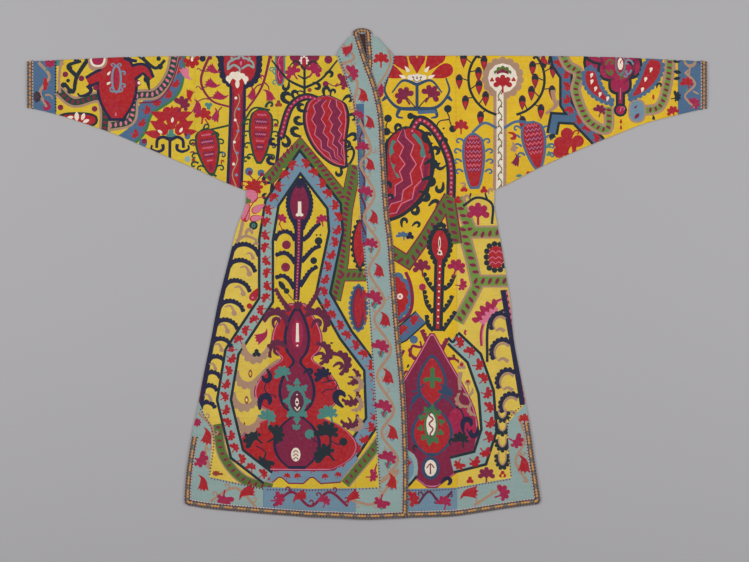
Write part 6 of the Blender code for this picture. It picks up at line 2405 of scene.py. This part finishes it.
for side in (-1, 1):
    outer, inner = front_binding(side)
    bind(
        SIDE_WORD[side], "braid_" + SIDE_WORD[side], outer, inner, tape_place(upper_layer[side]), side > 0,
    )
outer, inner = back_binding()
bind("back", "braid_back", outer, inner, tape_place(on_ground), False)
outer, inner = neck_binding()
bind(
    "neck", "braid_neck", outer, inner, tape_place(upper_layer[1]), True,
    tightness=4,
)
for side in (-1, 1):
    outer, inner = cuff_binding(side)
    place = folded_place(sleeve_under(side), sleeve_axis)
    bind(
        "cuff_" + SIDE_WORD[side], "cuff_braid_" + SIDE_WORD[side], outer, inner, place, side < 0,
        tightness=3,
    )

# ---- Cuff knot ----
# A small tuft of dark silk, gathered and knotted, sits on the left cuff near its open end.
# It is stitched through the cuff band, where a fastening was sewn on.
KNOT_MIDDLE = (-838.0, 449.0)
KNOT_SIZE = (18.0, 27.0, 6.0)
KNOT_PLEATS = 7
KNOT_PLEAT_DEPTH, KNOT_UNEVENNESS = 0.10, 0.05    # shares of its width
KNOT_SINK = 0.3                                  # pressed this far into the cuff
KNOT_RINGS, KNOT_SIDES = 9, 84

mesh = bpy.data.meshes.new("gathered_knot")
points = []
base = float(sleeve_under(-1)(*np.array([[KNOT_MIDDLE[0]], [KNOT_MIDDLE[1]]]))[0]) + WALL - KNOT_SINK
for r in range(KNOT_RINGS):
    share = math.cos(0.5 * math.pi * r / KNOT_RINGS)
    for s in range(KNOT_SIDES):
        turn = 2 * math.pi * s / KNOT_SIDES
        pleat = 1 + KNOT_PLEAT_DEPTH * math.cos(KNOT_PLEATS * turn) * share
        pleat += KNOT_UNEVENNESS * math.sin(3 * turn + 1)
        dome = KNOT_SIZE[2] * math.sqrt(max(0.0, 1 - share**2)) * (0.75 + 0.25 * pleat)
        points.append((
            KNOT_MIDDLE[0] + KNOT_SIZE[0] / 2 * share * pleat * math.cos(turn),
            KNOT_MIDDLE[1] + KNOT_SIZE[1] / 2 * share * pleat * math.sin(turn),
            base + dome,
        ))
points.append((*KNOT_MIDDLE, base + KNOT_SIZE[2]))
faces = [tuple(range(KNOT_SIDES))[::-1]]
for r in range(KNOT_RINGS - 1):
    for s in range(KNOT_SIDES):
        a, b = r * KNOT_SIDES + s, r * KNOT_SIDES + (s + 1) % KNOT_SIDES
        faces.append((a, b, b + KNOT_SIDES, a + KNOT_SIDES))
top = (KNOT_RINGS - 1) * KNOT_SIDES
faces += [(top + s, top + (s + 1) % KNOT_SIDES, KNOT_RINGS * KNOT_SIDES) for s in range(KNOT_SIDES)]
mesh.from_pydata((np.array(points) * MM).tolist(), [], faces)
mesh.shade_smooth()
knot = bpy.data.objects.new("gathered_knot", mesh)
bpy.context.collection.objects.link(knot)
mesh.materials.append(wrapped_silk("knotted_silk", "whipping", 0.65))
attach(knot, "root")
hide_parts("cuff_knot_left")

# ---- Floor, light and camera ----
# The coat lies on a plain grey floor under broad soft lamps, one on each side and one beyond the neck.
# The camera looks straight down, so that the panels show without any lean.
FLOOR_GREY = 0.445
CAMERA_HEIGHT = 4.2
VIEW_MIDDLE = (0.019, -0.019)
VIEW_SQUARES = 749                  # squares of the chart across the view
VIEW_WIDTH = VIEW_SQUARES * SQUARE * MM
SENSOR_WIDTH = 36.0
AIM_HEIGHT = 0.006                  # the camera stands above the middle of the coat's thickness
FLOOR_HALF = 4
ROOM_LIGHT = 0.26

mesh = bpy.data.meshes.new("floor")
corners = [
    (across * FLOOR_HALF, down * FLOOR_HALF, 0)
    for across, down in ((-1, -1), (1, -1), (1, 1), (-1, 1))
]
mesh.from_pydata(corners, [], [(0, 1, 2, 3)])
floor = bpy.data.objects.new("floor", mesh)
bpy.context.collection.objects.link(floor)
floor_paint = bpy.data.materials.new("grey_floor")
floor_paint.use_nodes = True
floor_shader = floor_paint.node_tree.nodes["Principled BSDF"]
floor_shader.inputs["Base Color"].default_value = (FLOOR_GREY, FLOOR_GREY * 0.98, FLOOR_GREY * 1.015, 1)
floor_shader.inputs["Roughness"].default_value = 0.9
floor_shader.inputs["Specular IOR Level"].default_value = 0.2
mesh.materials.append(floor_paint)

# Lamps:   x, y, z, side, power
LAMPS = ((-2.4, 0.5, 2.6, 1.6, 46.0), (2.4, 0.3, 2.6, 1.6, 43.0), (0.0, 1.2, 3.4, 1.8, 22.0))
for x, y, z, across, power in LAMPS:
    lamp = bpy.data.lights.new("soft_lamp", "AREA")
    lamp.size = across
    lamp.energy = power
    lamp_object = bpy.data.objects.new("soft_lamp", lamp)
    lamp_object.location = (x, y, z)
    lamp_object.rotation_euler = Vector((x, y, z)).to_track_quat("Z", "Y").to_euler()
    bpy.context.collection.objects.link(lamp_object)
world = bpy.data.worlds.new("room_light")
bpy.context.scene.world = world
world.use_nodes = True
world.node_tree.nodes["Background"].inputs["Color"].default_value = (1, 1, 1, 1)
world.node_tree.nodes["Background"].inputs["Strength"].default_value = ROOM_LIGHT
bpy.context.scene.view_settings.view_transform = "Standard"

lens = bpy.data.cameras.new("camera")
lens.sensor_width = SENSOR_WIDTH
lens.lens = SENSOR_WIDTH * CAMERA_HEIGHT / VIEW_WIDTH
camera = bpy.data.objects.new("camera", lens)
camera.location = (*VIEW_MIDDLE, CAMERA_HEIGHT + AIM_HEIGHT)
bpy.context.collection.objects.link(camera)
bpy.context.scene.camera = camera
